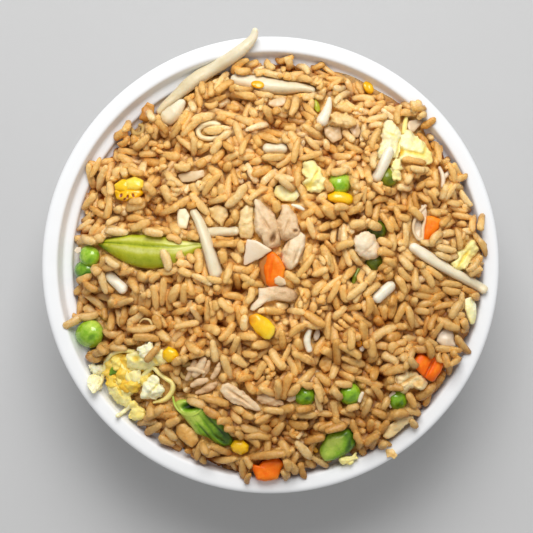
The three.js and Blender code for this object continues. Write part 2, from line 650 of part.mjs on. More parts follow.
// One mesh about the middle of its own box.
function pieceMesh(name, material, solid) {
  const geometry = geometryOf(solid);
  geometry.computeBoundingBox();
  const middle = geometry.boundingBox.getCenter(new THREE.Vector3());
  geometry.translate(-middle.x, -middle.y, -middle.z);
  const mesh = new THREE.Mesh(geometry, material);
  mesh.name = name;
  mesh.position.copy(middle);
  return mesh;
}

const bowl = new THREE.Mesh(bowlGeometry(), LOOKS.bowl);
bowl.name = 'bowl';

const rice = new THREE.Mesh(geometryOf(riceSolid()), LOOKS.rice);
rice.name = 'rice_heap';

const toppings = new THREE.Group();
for (const { name, material, solid } of laid) {
  toppings.add(pieceMesh(name, material, solid));
}

const dish = new THREE.Group();
dish.add(bowl, rice, toppings);

export default dish;
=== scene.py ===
import math

import bpy
import numpy as np
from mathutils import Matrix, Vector


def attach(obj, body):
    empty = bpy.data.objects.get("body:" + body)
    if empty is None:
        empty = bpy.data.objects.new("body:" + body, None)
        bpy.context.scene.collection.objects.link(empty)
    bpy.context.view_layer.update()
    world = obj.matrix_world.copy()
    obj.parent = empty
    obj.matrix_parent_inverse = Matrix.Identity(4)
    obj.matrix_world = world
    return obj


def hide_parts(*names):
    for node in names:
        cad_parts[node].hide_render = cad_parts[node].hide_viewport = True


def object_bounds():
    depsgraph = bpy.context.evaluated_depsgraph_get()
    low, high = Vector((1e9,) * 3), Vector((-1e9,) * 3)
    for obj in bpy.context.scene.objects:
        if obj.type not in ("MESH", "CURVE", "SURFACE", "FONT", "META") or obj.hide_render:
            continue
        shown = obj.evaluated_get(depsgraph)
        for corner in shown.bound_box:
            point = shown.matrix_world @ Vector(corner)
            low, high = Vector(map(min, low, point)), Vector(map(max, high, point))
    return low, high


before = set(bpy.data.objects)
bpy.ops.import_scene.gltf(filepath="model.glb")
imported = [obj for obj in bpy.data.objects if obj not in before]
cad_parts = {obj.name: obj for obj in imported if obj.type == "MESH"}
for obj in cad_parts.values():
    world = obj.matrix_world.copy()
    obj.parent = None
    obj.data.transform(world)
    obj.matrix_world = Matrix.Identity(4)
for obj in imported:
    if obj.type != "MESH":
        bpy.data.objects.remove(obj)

# The looks of a white moulded bowl heaped with fried rice. Shapes are worked out in millimetres, +Z up,
# in the frame of the solids, and turned into metres when a mesh is made.

CAD_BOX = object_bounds()
MM = 0.001
TAU = 2 * math.pi
BODY = "root"

# ---- Sizes shared with the solids, in millimetres ----------------------------------------------------

RIM_RADIUS = 75.0
BOWL_HEIGHT = 45.0
WALL = 1.8
BASE_RADIUS = 42.0
BASE_ROUNDING = 3.6
WALL_TOP = (63.2, 37.4)
WALL_BELLY = 1.3
SEAT = (65.0, 38.4)
LEDGE_INNER = 65.4
LEDGE_OUTER = 68.4
LEDGE_HEIGHT = 40.4
LEDGE_RISE = 0.5
RIM_INNER = 69.9
LIP_WIDTH, LIP_TOP, LIP_HEIGHT = 1.1, 0.77, 2.4
CORNER_REACH = 0.9

HEAP_TOP = 56.0
EDGE_HEIGHT, EDGE_HEIGHT_SWING = 41.8, 2.4
EDGE_RADIUS, EDGE_RADIUS_SWING = 67.5, 2.2
FULL_SIDE = math.radians(-35)
EDGE_FALL = 1.2
DOME_POWER = 2.2
CLUMP = 1.9
RIM_GAP = 0.3


def heap(x, y):
    """Mean height of the rice: a dome that drops from HEAP_TOP by a power of the share of the edge's
    radius, with the edge swinging in and down away from FULL_SIDE, and slow swells that fade outwards."""
    swing = np.cos(np.arctan2(y, x) - FULL_SIDE)
    edge_radius = EDGE_RADIUS + EDGE_RADIUS_SWING * swing
    edge_height = EDGE_HEIGHT + EDGE_HEIGHT_SWING * swing
    radius = np.hypot(x, y)
    share = np.minimum(radius / edge_radius, 1)
    swell = 0.7 * np.sin(x / 8.5) * np.cos(y / 9.7) + 0.4 * np.sin((x + y) / 5.6)
    inside = edge_height + (HEAP_TOP - edge_height) * (1 - share**DOME_POWER) + swell * (1 - share**4)
    return np.where(radius > edge_radius, edge_height - EDGE_FALL * (radius - edge_radius), inside)


def bowl_top(radius):
    """Height of the bowl's ledge, step and rim at a radius, by straight lines between their corners."""
    corners = [0, WALL_TOP[0], SEAT[0], LEDGE_INNER, LEDGE_OUTER, RIM_INNER, RIM_RADIUS]
    heights = [0, WALL_TOP[1], SEAT[1], LEDGE_HEIGHT, LEDGE_HEIGHT + LEDGE_RISE, BOWL_HEIGHT, BOWL_HEIGHT]
    return np.interp(radius, corners, heights)


def ground(x, y):
    """What a topping lies on: the heap, or the bowl where that is higher."""
    radius = np.hypot(x, y)
    on_rim = np.maximum(heap(x, y), bowl_top(radius) + RIM_GAP)
    return np.where(radius < LEDGE_INNER, heap(x, y), on_rim)


def on_plan(x, y):
    """Places on the ground plan, at a height of 0, where noise can be read."""
    return np.stack([x, y, np.zeros_like(x)], -1)


def clumps(x, y):
    """How far the rice stands over or under the heap's mean height: two sizes of noise times CLUMP."""
    places = on_plan(x, y)
    return CLUMP * (noise(places, 8.5, 61) + 0.6 * noise(places, 4.6, 62))


# ---- Noise and closed grids --------------------------------------------------------------------------


def noise(points, size, seed):
    """Smooth noise from -1 to 1: a seeded value at each corner of cells of the given size, blended
    across each cell by a smoothstep."""
    place = np.asarray(points, dtype=float) / size
    cell = np.floor(place).astype(np.int64)
    part = place - cell
    part = part * part * (3 - 2 * part)
    total = np.zeros(place.shape[:-1])
    for corner in np.ndindex(2, 2, 2):
        at = cell + corner
        code = at[..., 0] * 374761393 + at[..., 1] * 668265263 + at[..., 2] * 1442695041 + seed * 1274126177
        code = ((code ^ (code >> 13)) * 1103515245) & 0xFFFFFFFF
        code = (code ^ (code >> 15)) & 0xFFFF
        weight = np.prod(np.where(corner, part, 1 - part), axis=-1)
        total += weight * (code / 32767.5 - 1)
    return total


def unit(rows):
    """Each row divided by its length."""
    return rows / np.linalg.norm(rows, axis=1, keepdims=True)


def turned(x, y, angle):
    """How far places lie along a direction and to its left."""
    return x * math.cos(angle) + y * math.sin(angle), y * math.cos(angle) - x * math.sin(angle)


def turn_from(angle, start):
    """The turn from one direction to another, from -pi to pi."""
    return np.angle(np.exp(1j * (angle - start)))


def closed(first, rows, last):
    """The points of a closed grid: a pole, the rings between and a pole."""
    return np.concatenate([[first], np.reshape(rows, (-1, 3)), [last]])


def grid_faces(rings, sides):
    """Faces of a closed grid whose points are a pole, `rings` rings of `sides` points, and a pole."""
    ring, side = np.meshgrid(np.arange(rings - 1), np.arange(sides), indexing="ij")
    after = (side + 1) % sides
    low, high = 1 + ring * sides, 1 + (ring + 1) * sides
    quads = np.stack([low + side, low + after, high + after, high + side], axis=-1).reshape(-1, 4)
    side = np.arange(sides)
    after = (side + 1) % sides
    last = 1 + (rings - 1) * sides
    start = np.stack([np.full(sides, 0), 1 + after, 1 + side], axis=-1)
    end = np.stack([np.full(sides, last + sides), last + side, last + after], axis=-1)
    return quads, np.concatenate([start, end])


def volume_sign(points, quads, tris):
    """1 if the faces of a closed mesh point outwards and -1 if inwards, by the sign of its volume."""
    corners = np.concatenate([tris, quads[:, [0, 1, 2]], quads[:, [0, 2, 3]]])
    a, b, c = (points[corners[:, k]] - points.mean(axis=0) for k in range(3))
    return 1 if np.einsum("ij,ij->", a, np.cross(b, c)) > 0 else -1


class Form:
    """Closed grids in millimetres, one or many alike: points, faces, and named values at the points."""

    def __init__(self, points, rings, sides, copies=1, **values):
        self.points = np.asarray(points, dtype=float).reshape(-1, 3)
        self.values = {name: np.asarray(value, dtype=float).ravel() for name, value in values.items()}
        one = rings * sides + 2
        quads, tris = grid_faces(rings, sides)
        if volume_sign(self.points[:one], quads, tris) < 0:
            quads, tris = quads[:, ::-1], tris[:, ::-1]
        shift = one * np.arange(copies)[:, None, None]
        self.quads, self.tris = (quads + shift).reshape(-1, 4), (tris + shift).reshape(-1, 3)


def ball(rings, sides):
    """Directions over a sphere whose poles are at -Y and +Y, as a pole, rings and a pole."""
    polar = math.pi * np.arange(1, rings + 1) / (rings + 1)
    around = TAU * np.arange(sides) / sides
    polar, around = np.meshgrid(polar, around, indexing="ij")
    ring = np.stack([np.sin(polar) * np.cos(around), -np.cos(polar), np.sin(polar) * np.sin(around)], -1)
    return closed([0, -1, 0], ring, [0, 1, 0])


# ---- Shapes of the toppings --------------------------------------------------------------------------


def along_curve(route, count):
    """`count` points at equal steps of length along a Catmull-Rom curve through the route."""
    route = np.asarray(route, dtype=float)
    ends = np.concatenate([[2 * route[0] - route[1]], route, [2 * route[-1] - route[-2]]])
    t = np.linspace(0, 1, 25)[:, None, None][:-1]
    p0, p1, p2, p3 = ends[:-3], ends[1:-2], ends[2:-1], ends[3:]
    curve = 0.5 * (2 * p1 + (p2 - p0) * t + (2 * p0 - 5 * p1 + 4 * p2 - p3) * t**2
                   + (3 * p1 - p0 - 3 * p2 + p3) * t**3)
    curve = np.concatenate([curve.transpose(1, 0, 2).reshape(-1, 3), route[-1:]])
    length = np.concatenate([[0], np.cumsum(np.linalg.norm(np.diff(curve, axis=0), axis=1))])
    steps = np.linspace(0, length[-1], count)
    return np.stack([np.interp(steps, length, curve[:, k]) for k in range(3)], axis=1), length[-1]


def ground_route(route, lift):
    """Route points of x, y and an optional lift of their own, raised that much over the ground."""
    return [(x, y, float(ground(x, y)) + (own[0] if own else lift)) for x, y, *own in route]


def grid_normals(points, rings, sides):
    """Outward directions at the points of a closed grid, across its steps along and around."""
    grid = points[1:-1].reshape(rings, sides, 3)
    around = np.roll(grid, -1, axis=1) - np.roll(grid, 1, axis=1)
    normals = np.cross(around, np.gradient(grid, axis=0))
    ends = [normals[0].sum(axis=0)[None], normals.reshape(-1, 3), normals[-1].sum(axis=0)[None]]
    normals = np.concatenate(ends)
    normals /= np.linalg.norm(normals, axis=1, keepdims=True) + 1e-9
    return normals * np.sign(np.einsum("ij,ij->", normals, points - points.mean(axis=0)))


def fibred(points, degrees, stretch):
    """Points turned about the vertical and shortened along that direction, so that noise read there
    becomes long fibres."""
    along, aside = turned(points[:, 0], points[:, 1], math.radians(degrees))
    return np.stack([along / stretch, aside, points[:, 2]], 1)


def relief(points, seed, wave=0.0, puff=0.0, fibre=0.0, fibre_turn=0.0, pit=0.0, fold=0.0):
    """Height of a surface's unevenness in millimetres: slow waves, puffs with sharp creases between
    them, fibres along one direction, small pits, and long folds. Creases are where noise changes its
    sign, so puffs, fibres and folds read its size without the sign."""
    threads = fibred(points, fibre_turn, 5.0)
    folds = fibred(points, fibre_turn + 30, 2.6)
    bulge = np.abs(noise(points, 3.4, seed + 2)) + 0.5 * np.abs(noise(points, 1.6, seed + 3)) - 0.45
    strand = 0.4 - np.abs(noise(threads, 1.5, seed + 4)) - 0.5 * np.abs(noise(threads, 0.7, seed + 5))
    height = wave * noise(points, 4.6, seed) + 0.3 * wave * noise(points, 1.7, seed + 1)
    height += puff * bulge
    height += 0.2 * puff * noise(points, 0.8, seed + 9)
    height += fibre * strand
    height -= pit * np.clip(noise(points, 1.5, seed + 6) - 0.35, 0, 1)
    height += fold * (0.4 - np.abs(noise(folds, 3.0, seed + 7)))
    return height


def sweep(route, radii, lift=1.3, flat=1.0, rings=64, sides=24, seed=1, section=None, tone=0.5,
          tone_end=None, **unevenness):
    """A stem: a section carried along the curve through `route`, with radii at equal stretches and its
    ends rounded by an ellipse. `section` gives a factor of the radius for each share of the length and
    angle round the stem. The tone is a function of those two, or goes evenly from end to end."""
    centre, length = along_curve(ground_route(route, lift), rings + 2)
    even = np.linspace(0, 1, rings + 2)
    cap = np.minimum(np.array(radii)[[0, -1]] / length, 0.3)
    share = np.interp(even, [0, 0.12, 0.88, 1], [0, cap[0], 1 - cap[1], 1])
    centre = np.stack([np.interp(share, even, centre[:, k]) for k in range(3)], 1)
    radius = np.interp(share, np.linspace(0, 1, len(radii)), radii)
    start = np.clip(1 - share / cap[0], 0, 1)
    end = np.clip(1 - (1 - share) / cap[1], 0, 1)
    radius = radius * np.sqrt(np.clip(1 - start**2, 0, 1)) * np.sqrt(np.clip(1 - end**2, 0, 1))
    tangent = unit(np.gradient(centre, axis=0))
    side = unit(np.cross([0, 0, 1], tangent))
    top = np.cross(tangent, side)
    inner = slice(1, rings + 1)
    long_share, angle = np.meshgrid(share[inner], TAU * np.arange(sides) / sides, indexing="ij")
    factor = np.ones_like(long_share) if section is None else section(long_share, angle)
    reach = radius[inner, None] * factor
    points = (centre[inner, None] + side[inner, None] * (reach * np.cos(angle))[..., None]
              + top[inner, None] * (reach * np.sin(angle) * flat)[..., None])
    points = closed(centre[0], points, centre[-1])
    raised = relief(points, seed, **unevenness) * np.minimum(1, 0.4 + 0.1 * length)
    points = points + grid_normals(points, rings, sides) * raised[:, None]
    if callable(tone):
        shade = np.concatenate([[tone(0.0, 0.0)], tone(long_share, angle).ravel(), [tone(1.0, 0.0)]])
    else:
        along = np.concatenate([[0], long_share.ravel(), [1]])
        shade = tone + ((tone if tone_end is None else tone_end) - tone) * along
    return Form(points, rings, sides, tone=shade)


def outline_reach(outline, angles, easing):
    """How far a star-shaped outline reaches from the origin in each direction, with its corners eased
    by averaging over a spread of directions."""
    edges = np.roll(outline, -1, axis=0) - outline
    turned = outline[:, 0] * edges[:, 1] - outline[:, 1] * edges[:, 0]

    def reach(angle):
        """The farthest crossing of each direction's ray with an edge, by solving for both shares."""
        way_x, way_y = np.cos(angle)[:, None], np.sin(angle)[:, None]
        across = way_x * edges[:, 1] - way_y * edges[:, 0]
        across = np.where(np.abs(across) < 1e-9, 1e-9, across)
        far = turned / across
        share = (outline[:, 0] * way_y - outline[:, 1] * way_x) / across
        hit = (far > 0) & (share > -0.001) & (share < 1.001)
        return np.where(hit, far, 0).max(axis=1)

    return np.mean([reach(angles + shift) for shift in np.linspace(-easing, easing, 7)], axis=0)


def centred(outline):
    """An outline's centre of area and the outline about it."""
    outline = np.asarray(outline, dtype=float)
    after = np.roll(outline, -1, axis=0)
    cross = outline[:, 0] * after[:, 1] - after[:, 0] * outline[:, 1]
    centre = ((outline + after) * cross[:, None]).sum(axis=0) / (3 * cross.sum())
    return centre, outline - centre


SLOPE_STEP = 2.0
SLOPE_SHARE = 0.7


def chunk(outline, height, seed, lift=1.4, square=2.7, easing=0.08, tilt=(0, 0), bend=0.0, detail=(42, 60),
          tone=0.5, shade=(0, 0), crumple=0.0, ragged=0.0, dents=(), **unevenness):
    """A piece with a given outline from above: directions over a ball, pushed out sideways to the outline
    with ragged noise and upwards to half the height through a superellipse, raised by relief, moved up and
    down as a crumpled sheet, dented from above, and sheared to lie along the heap's slope and its own tilt.
    Each dent is an oval bell: its place, its two reaches, its turn, its depth, and what it adds to the
    tone, which is painted shade where it darkens a hollow or crease, and a painted highlight or the piece's
    own colour where it lightens. `shade` tilts the tone across the piece, on some pieces as painted light,
    lighter towards the lamp's side, and on others as the piece's own colour."""
    rings, sides = detail
    centre, local = centred(outline)
    ways = ball(rings, sides)[:, [0, 2, 1]]
    flat, up = np.hypot(ways[:, 0], ways[:, 1]), ways[:, 2]
    angles = np.arctan2(ways[:, 1], ways[:, 0])
    norm = (np.abs(flat) ** square + np.abs(up) ** square) ** (1 / square)
    reach = outline_reach(local, angles, easing)
    edge = np.stack([reach * np.cos(angles), reach * np.sin(angles), 1.2 * up + 5.0 * seed], 1)
    torn = noise(edge, 2.0, seed + 21) + 0.7 * noise(edge, 0.9, seed + 22)
    reach = (reach + ragged * torn) * flat / norm
    points = np.stack([reach * np.cos(angles), reach * np.sin(angles), up / norm * height / 2], 1)
    raised = relief(points + [7 * seed, 0, 0], seed, **unevenness)
    points = points + grid_normals(points, rings, sides) * raised[:, None]
    sheet = points * [1, 1, 0] + [0, 0, 3.1 * seed]
    points[:, 2] += crumple * (noise(sheet, 2.8, seed + 11) + 0.5 * noise(sheet, 1.3, seed + 12))
    x, y = centre
    step = SLOPE_STEP
    slope_x = float(ground(x + step, y) - ground(x - step, y)) / (2 * step)
    slope_y = float(ground(x, y + step) - ground(x, y - step)) / (2 * step)
    shear_x, shear_y = SLOPE_SHARE * slope_x + tilt[0], SLOPE_SHARE * slope_y + tilt[1]
    points[:, 2] += points[:, 0] * shear_x + points[:, 1] * shear_y
    points[:, 2] += float(ground(x, y)) + lift - bend * points[:, 0] ** 2
    # Tone slope across the piece: partly painted light, lighter on the side towards the lamp, partly the
    # piece's own colour.
    values = tone + shade[0] * points[:, 0] + shade[1] * points[:, 1]
    points[:, :2] += centre
    # Dents: a darker tint is painted shade in the hollow; a lighter one is a painted highlight or the
    # piece's own paler colour.
    for at_x, at_y, long, wide, turn, depth, tint in dents:
        along, aside = turned(points[:, 0] - at_x, points[:, 1] - at_y, math.radians(turn))
        upper_side = np.clip(4 * up + 0.5, 0, 1)
        dent = np.exp(-(((along / long) ** 2 + (aside / wide) ** 2) ** 1.5)) * upper_side
        points[:, 2] -= depth * dent
        values = values + tint * dent
    return Form(points, rings, sides, tone=values)


OVAL_CORNERS = 14


def oval(x, y, width, length, turn):
    """The outline of an oval of a width and a length, turned about its middle by degrees."""
    angle = TAU * np.arange(OVAL_CORNERS) / OVAL_CORNERS
    across = width / 2 * np.cos(angle)
    along = length / 2 * np.sin(angle)
    turn = math.radians(turn)
    return np.stack([
        x + across * math.cos(turn) - along * math.sin(turn),
        y + across * math.sin(turn) + along * math.cos(turn),
    ], 1)


# ---- The toppings ------------------------------------------------------------------------------------

TOPPINGS = []


def topping(node, slot, finish, form, name=None):
    """Notes a topping: its name, its form, its slot, the node it replaces and its finish. More than
    one may stand for a node."""
    TOPPINGS.append((name or node, form, slot, node, finish))


def maker(slot, finish, shape, **common):
    """A function that notes toppings of one kind, made by `chunk` or `sweep` with settings in common
    that each may override."""
    def make(node, *places, name=None, **own):
        """Notes one topping, whose own settings go before those in common."""
        topping(node, slot, finish, shape(*places, **(common | own)), name)
    return make


def ribbed(share, angle):
    """A sprout's section: slightly angular, with faint ribs along it and a slow change of width."""
    ribs = 0.05 * np.cos(3 * angle + 1) + 0.02 * np.cos(7 * angle)
    return 1 + ribs + 0.05 * np.sin(9 * share + 2 * angle)


def lay_sprouts():
    """Bean sprouts: ribbed stems, most of them with a tone that changes along them."""

    def stem(number, route, radii, **more):
        """A numbered sprout with its own seed."""
        form = sweep(route, radii, seed=200 + number, section=ribbed, wave=0.16, **more)
        topping(f"sprout_{number:02d}", "sprout", "sprout", form)

    stem(1, [(-37.1, 49.6, 1), (-34.4, 52.6, 1.4), (-31, 55.6, 1.7), (-25.2, 60.4, 2.2), (-18.8, 64.3, 2.3),
        (-11.2, 68.9, 2.1), (-6, 73.6, 2.6), (-4.8, 77.3, 3.4)], [1.1, 1.5, 2.1, 2.5, 2.2, 2, 1.7, 0.9],
        rings=120, flat=0.8, tone=0.42, tone_end=0.75)
    stem(2, [(-35.4, 46.6), (-31.6, 50), (-28.4, 54.2)], [2.4, 2.7, 0.9], flat=0.7, tone=0.5, tone_end=0.85)
    stem(3, [(-13.1, 61.3), (-6.2, 59.9), (0.1, 58.6), (5.2, 57.9), (10, 57.9), (14.6, 57)],
        [1.8, 2, 2.5, 2.5, 1.6, 0.8], flat=0.85, tone=0.85, tone_end=0.5, rings=90)
    stem(4, [(19.4, 54.8), (18.5, 50.6), (16, 45.4)], [0.5, 1.7, 2], flat=0.8, lift=1.8, tone=0.9)
    stem(5, [(-2.7, 37.5), (1.5, 37.6), (5.5, 37.5)], [1.5, 1.7, 1.4], lift=1.8, tone=0.65)
    stem(6, [(39, 38.4, 4.2), (36.6, 32.8, 3.4), (33.6, 27, 1.6)], [1.5, 1.8, 1.5], tone=0.95)
    stem(7, [(-25.4, 18, 1.4), (-22.9, 13.6, 1.6), (-21.1, 8.6, 2), (-19.4, 3, 2), (-17.1, -4.6, 1.2)],
        [1.1, 1.6, 1.9, 2.1, 2.1], rings=90, tone=0.6, tone_end=0.75)
    stem(8, [(-21.7, 10.3, -0.4), (-16, 10.6, 0.3), (-10.1, 11, 1)], [1.4, 1.7, 1.2], flat=0.8, lift=1.8,
        tone=0.55)
    stem(9, [(40, -5.7), (36.5, -8.6), (33.2, -11.6)], [1.6, 1.9, 1.6], flat=0.8, lift=2.7, tone=0.8,
        tone_end=1)
    stem(10, [(45, 6.4), (51.9, 1.9), (58.6, -2), (63.7, -4.7, 2.4), (68.1, -7, 1.6), (70.6, -8.8, 1.6)],
        [1.6, 1.8, 1.7, 1.6, 1.5], rings=110, flat=0.9, lift=2.4, tone=0.9, tone_end=0.6)
    stem(11, [(-53.4, -2.7), (-50.2, -5.8), (-46.8, -8.8)], [1.5, 1.8, 1.6], flat=0.8, lift=2.2, tone=0.85)


SEAM_ANGLE = 1.2


def bell(value, width):
    """1 in the middle, falling off on both sides by a bell curve of a width."""
    return np.exp(-((value / width) ** 2))


def seam(share, angle):
    """A pod's section: a groove between two low lips where the halves meet, a keel opposite, and slow
    swells over the beans inside."""
    away = turn_from(angle, SEAM_ANGLE)
    lips = 0.06 * bell(np.abs(away) - 0.2, 0.11)
    groove = -0.08 * bell(away, 0.1)
    opposite = 0.05 * bell(turn_from(angle - SEAM_ANGLE, math.pi), 0.25)
    beans = 0.02 * np.cos(share * TAU * 3.5) * bell(away + 0.9, 0.7)
    return 1 + (lips + groove + opposite + beans) * np.sin(math.pi * np.clip(share, 0, 1)) ** 0.4


def pod_tone(share, angle):
    """A pod's tone: painted highlights as pale bands on both lips of the seam, painted shade as a dark line
    in its groove, and a deeper tip.
    """
    away = turn_from(angle, SEAM_ANGLE)
    painted_lip_highlights = 0.46 * bell(away - 0.36, 0.26) + 0.4 * bell(away + 0.38, 0.34)
    tip = -0.35 * bell(share, 0.16) + 0.25 * bell(share - 0.86, 0.12)
    return 0.34 + painted_lip_highlights - 0.35 * bell(away, 0.09) + tip


def lay_pods():
    """The whole bean pod, the split one with its second lip, and the cut piece."""
    whole = maker("pod", "pod", sweep)
    cut = maker("pod", "pod_dark", chunk)
    lip = maker("pod", "pod_dark", sweep)
    whole("pod_whole", [(-56.6, 7.1, 1.6), (-52, 6.3, 1.9), (-48, 5.5, 2), (-44, 4.8, 1.9), (-40, 4.3, 1.8),
        (-36, 4.2, 1.7), (-32, 4.2, 1.6), (-28, 4.9, 1.4), (-24.4, 5.9, 1.2), (-21.8, 6.2, 1)],
        [0.4, 2.2, 3.6, 4.8, 5.4, 5.5, 5, 3.8, 2.2, 0.8], flat=0.55, rings=120, sides=84, section=seam,
        wave=0.1, seed=31, tone=pod_tone)
    # pod_split: the dark mouth and the darker lower right are painted shade, the pale streaks on the upper
    # left are painted highlights, and the thin dark lines are its darker veins with painted shade in their
    # creases.
    cut("pod_split", [(-30.9, -44.6), (-30.6, -46.4), (-29.4, -48.4), (-28.1, -50.1), (-26.4, -52.3),
        (-24.2, -54.7), (-20.9, -56), (-18.1, -57.9), (-15.3, -59.3), (-12.8, -58.7), (-12, -57.1),
        (-12.6, -54.7), (-14.2, -52.3), (-15.6, -50.6), (-17.5, -48.8), (-19.5, -47), (-22.5, -45),
        (-26.4, -43.8), (-29.4, -43.6)], 6.4, 32, lift=2, square=2.3, easing=0.04, wave=0.3, fold=0.35,
        fibre_turn=-40, detail=(64, 110), tone=0.66, shade=(-0.028, 0.008),
        dents=[(-26.2, -45.9, 3, 1.2, 10, 2.6, -0.9), (-20.4, -52.2, 5.2, 0.5, -52, 0.4, -0.18),
        (-16.4, -56.6, 2.4, 0.5, -35, 0.5, -0.25), (-24.2, -49.4, 3, 1.6, -30, 0, 0.3),
        (-26.4, -51.4, 4.6, 0.8, -52, 0, 0.3), (-28.9, -47.6, 2.4, 0.7, -58, 0, 0.5),
        (-21.6, -53.8, 4.6, 0.35, -50, 0.25, -0.35), (-18.2, -51.6, 4.2, 0.35, -48, 0.2, -0.35),
        (-15.6, -55.2, 2.6, 1.6, -45, 0, -0.3)])
    lip("pod_split", [(-31.8, -42.6, 2.2), (-31.2, -45.2, 2.6), (-29.9, -47.2, 3.4), (-28, -48.4, 4.1),
        (-25.8, -48.8, 4.6), (-23.8, -48.1, 4.8), (-22.2, -46.6, 4.4)],
        [0.35, 0.45, 0.45, 0.5, 0.5, 0.4, 0.3], seed=33, tone=1, sides=14, rings=60, name="pod_split_lip")
    # pod_piece: its thin bright streak is a painted highlight; its paler middle and darker right rim are
    # its own colour.
    cut("pod_piece", [(17.2, -57.4), (19, -55), (22.4, -54.2), (25.6, -53.4), (27.4, -55.6), (27.7, -58.6),
        (26, -61), (23.6, -62.6), (20.6, -64), (17.6, -64.2), (16, -61.8), (15.8, -59)][::-1], 6.2, 34,
        lift=1.6, square=2.3, wave=0.35, pit=0.5, shade=(-0.03, 0), detail=(48, 80),
        dents=[(20.8, -59, 4, 2.6, 30, 0.9, 0.4), (20.4, -57, 2.6, 1.4, 30, -0.4, 0.3),
        (22.8, -56.2, 0.9, 0.25, 30, -0.2, 0.7), (18, -62.4, 2, 1.6, 0, 0, 0.25),
        (25.4, -58.6, 3.4, 0.8, 70, 0, -0.25)])


def lay_onion():
    """Three onion slices and the curled husk."""
    leaf = maker("onion", "onion", chunk, square=3, easing=0.05, wave=0.18, ragged=0.2)
    husk = maker("onion", "husk", sweep)
    leaf("onion_01", [(-7.6, 8.4), (-8.8, 0.2), (-8.2, -0.4), (-2.8, 2.6), (0.8, 4.7), (-1.8, 6.3),
        (-4.2, 7.8)], 1.4, 41, lift=2.9, tilt=(0.12, 0.05), tone=0.85, shade=(-0.05, 0.02))
    leaf("onion_02", [(-30, 29.2), (-28.6, 26.8), (-25, 26.9), (-21.4, 28.6), (-21.6, 30.8), (-26, 30.4)],
        1.4, 42, lift=2.1, bend=0.03)
    leaf("onion_03", [(48, 16), (48.6, 14.2), (50.6, 14.8), (51, 17), (50.6, 19.8), (49, 19.6)], 1.6, 43,
        lift=1.9, bend=0.05, tone=0.85)
    husk("husk_ring", [(-16.2, 45.4), (-18.6, 46), (-21.6, 45.6), (-23.6, 43.8), (-22.6, 41.6), (-19.2, 41),
        (-16.4, 42.6)], [0.6, 0.9, 1, 0.9, 0.9, 0.8, 0.6], lift=1.8, flat=1.3, seed=44, sides=18, rings=80,
        wave=0.2, fibre=0.2, tone=0.8)


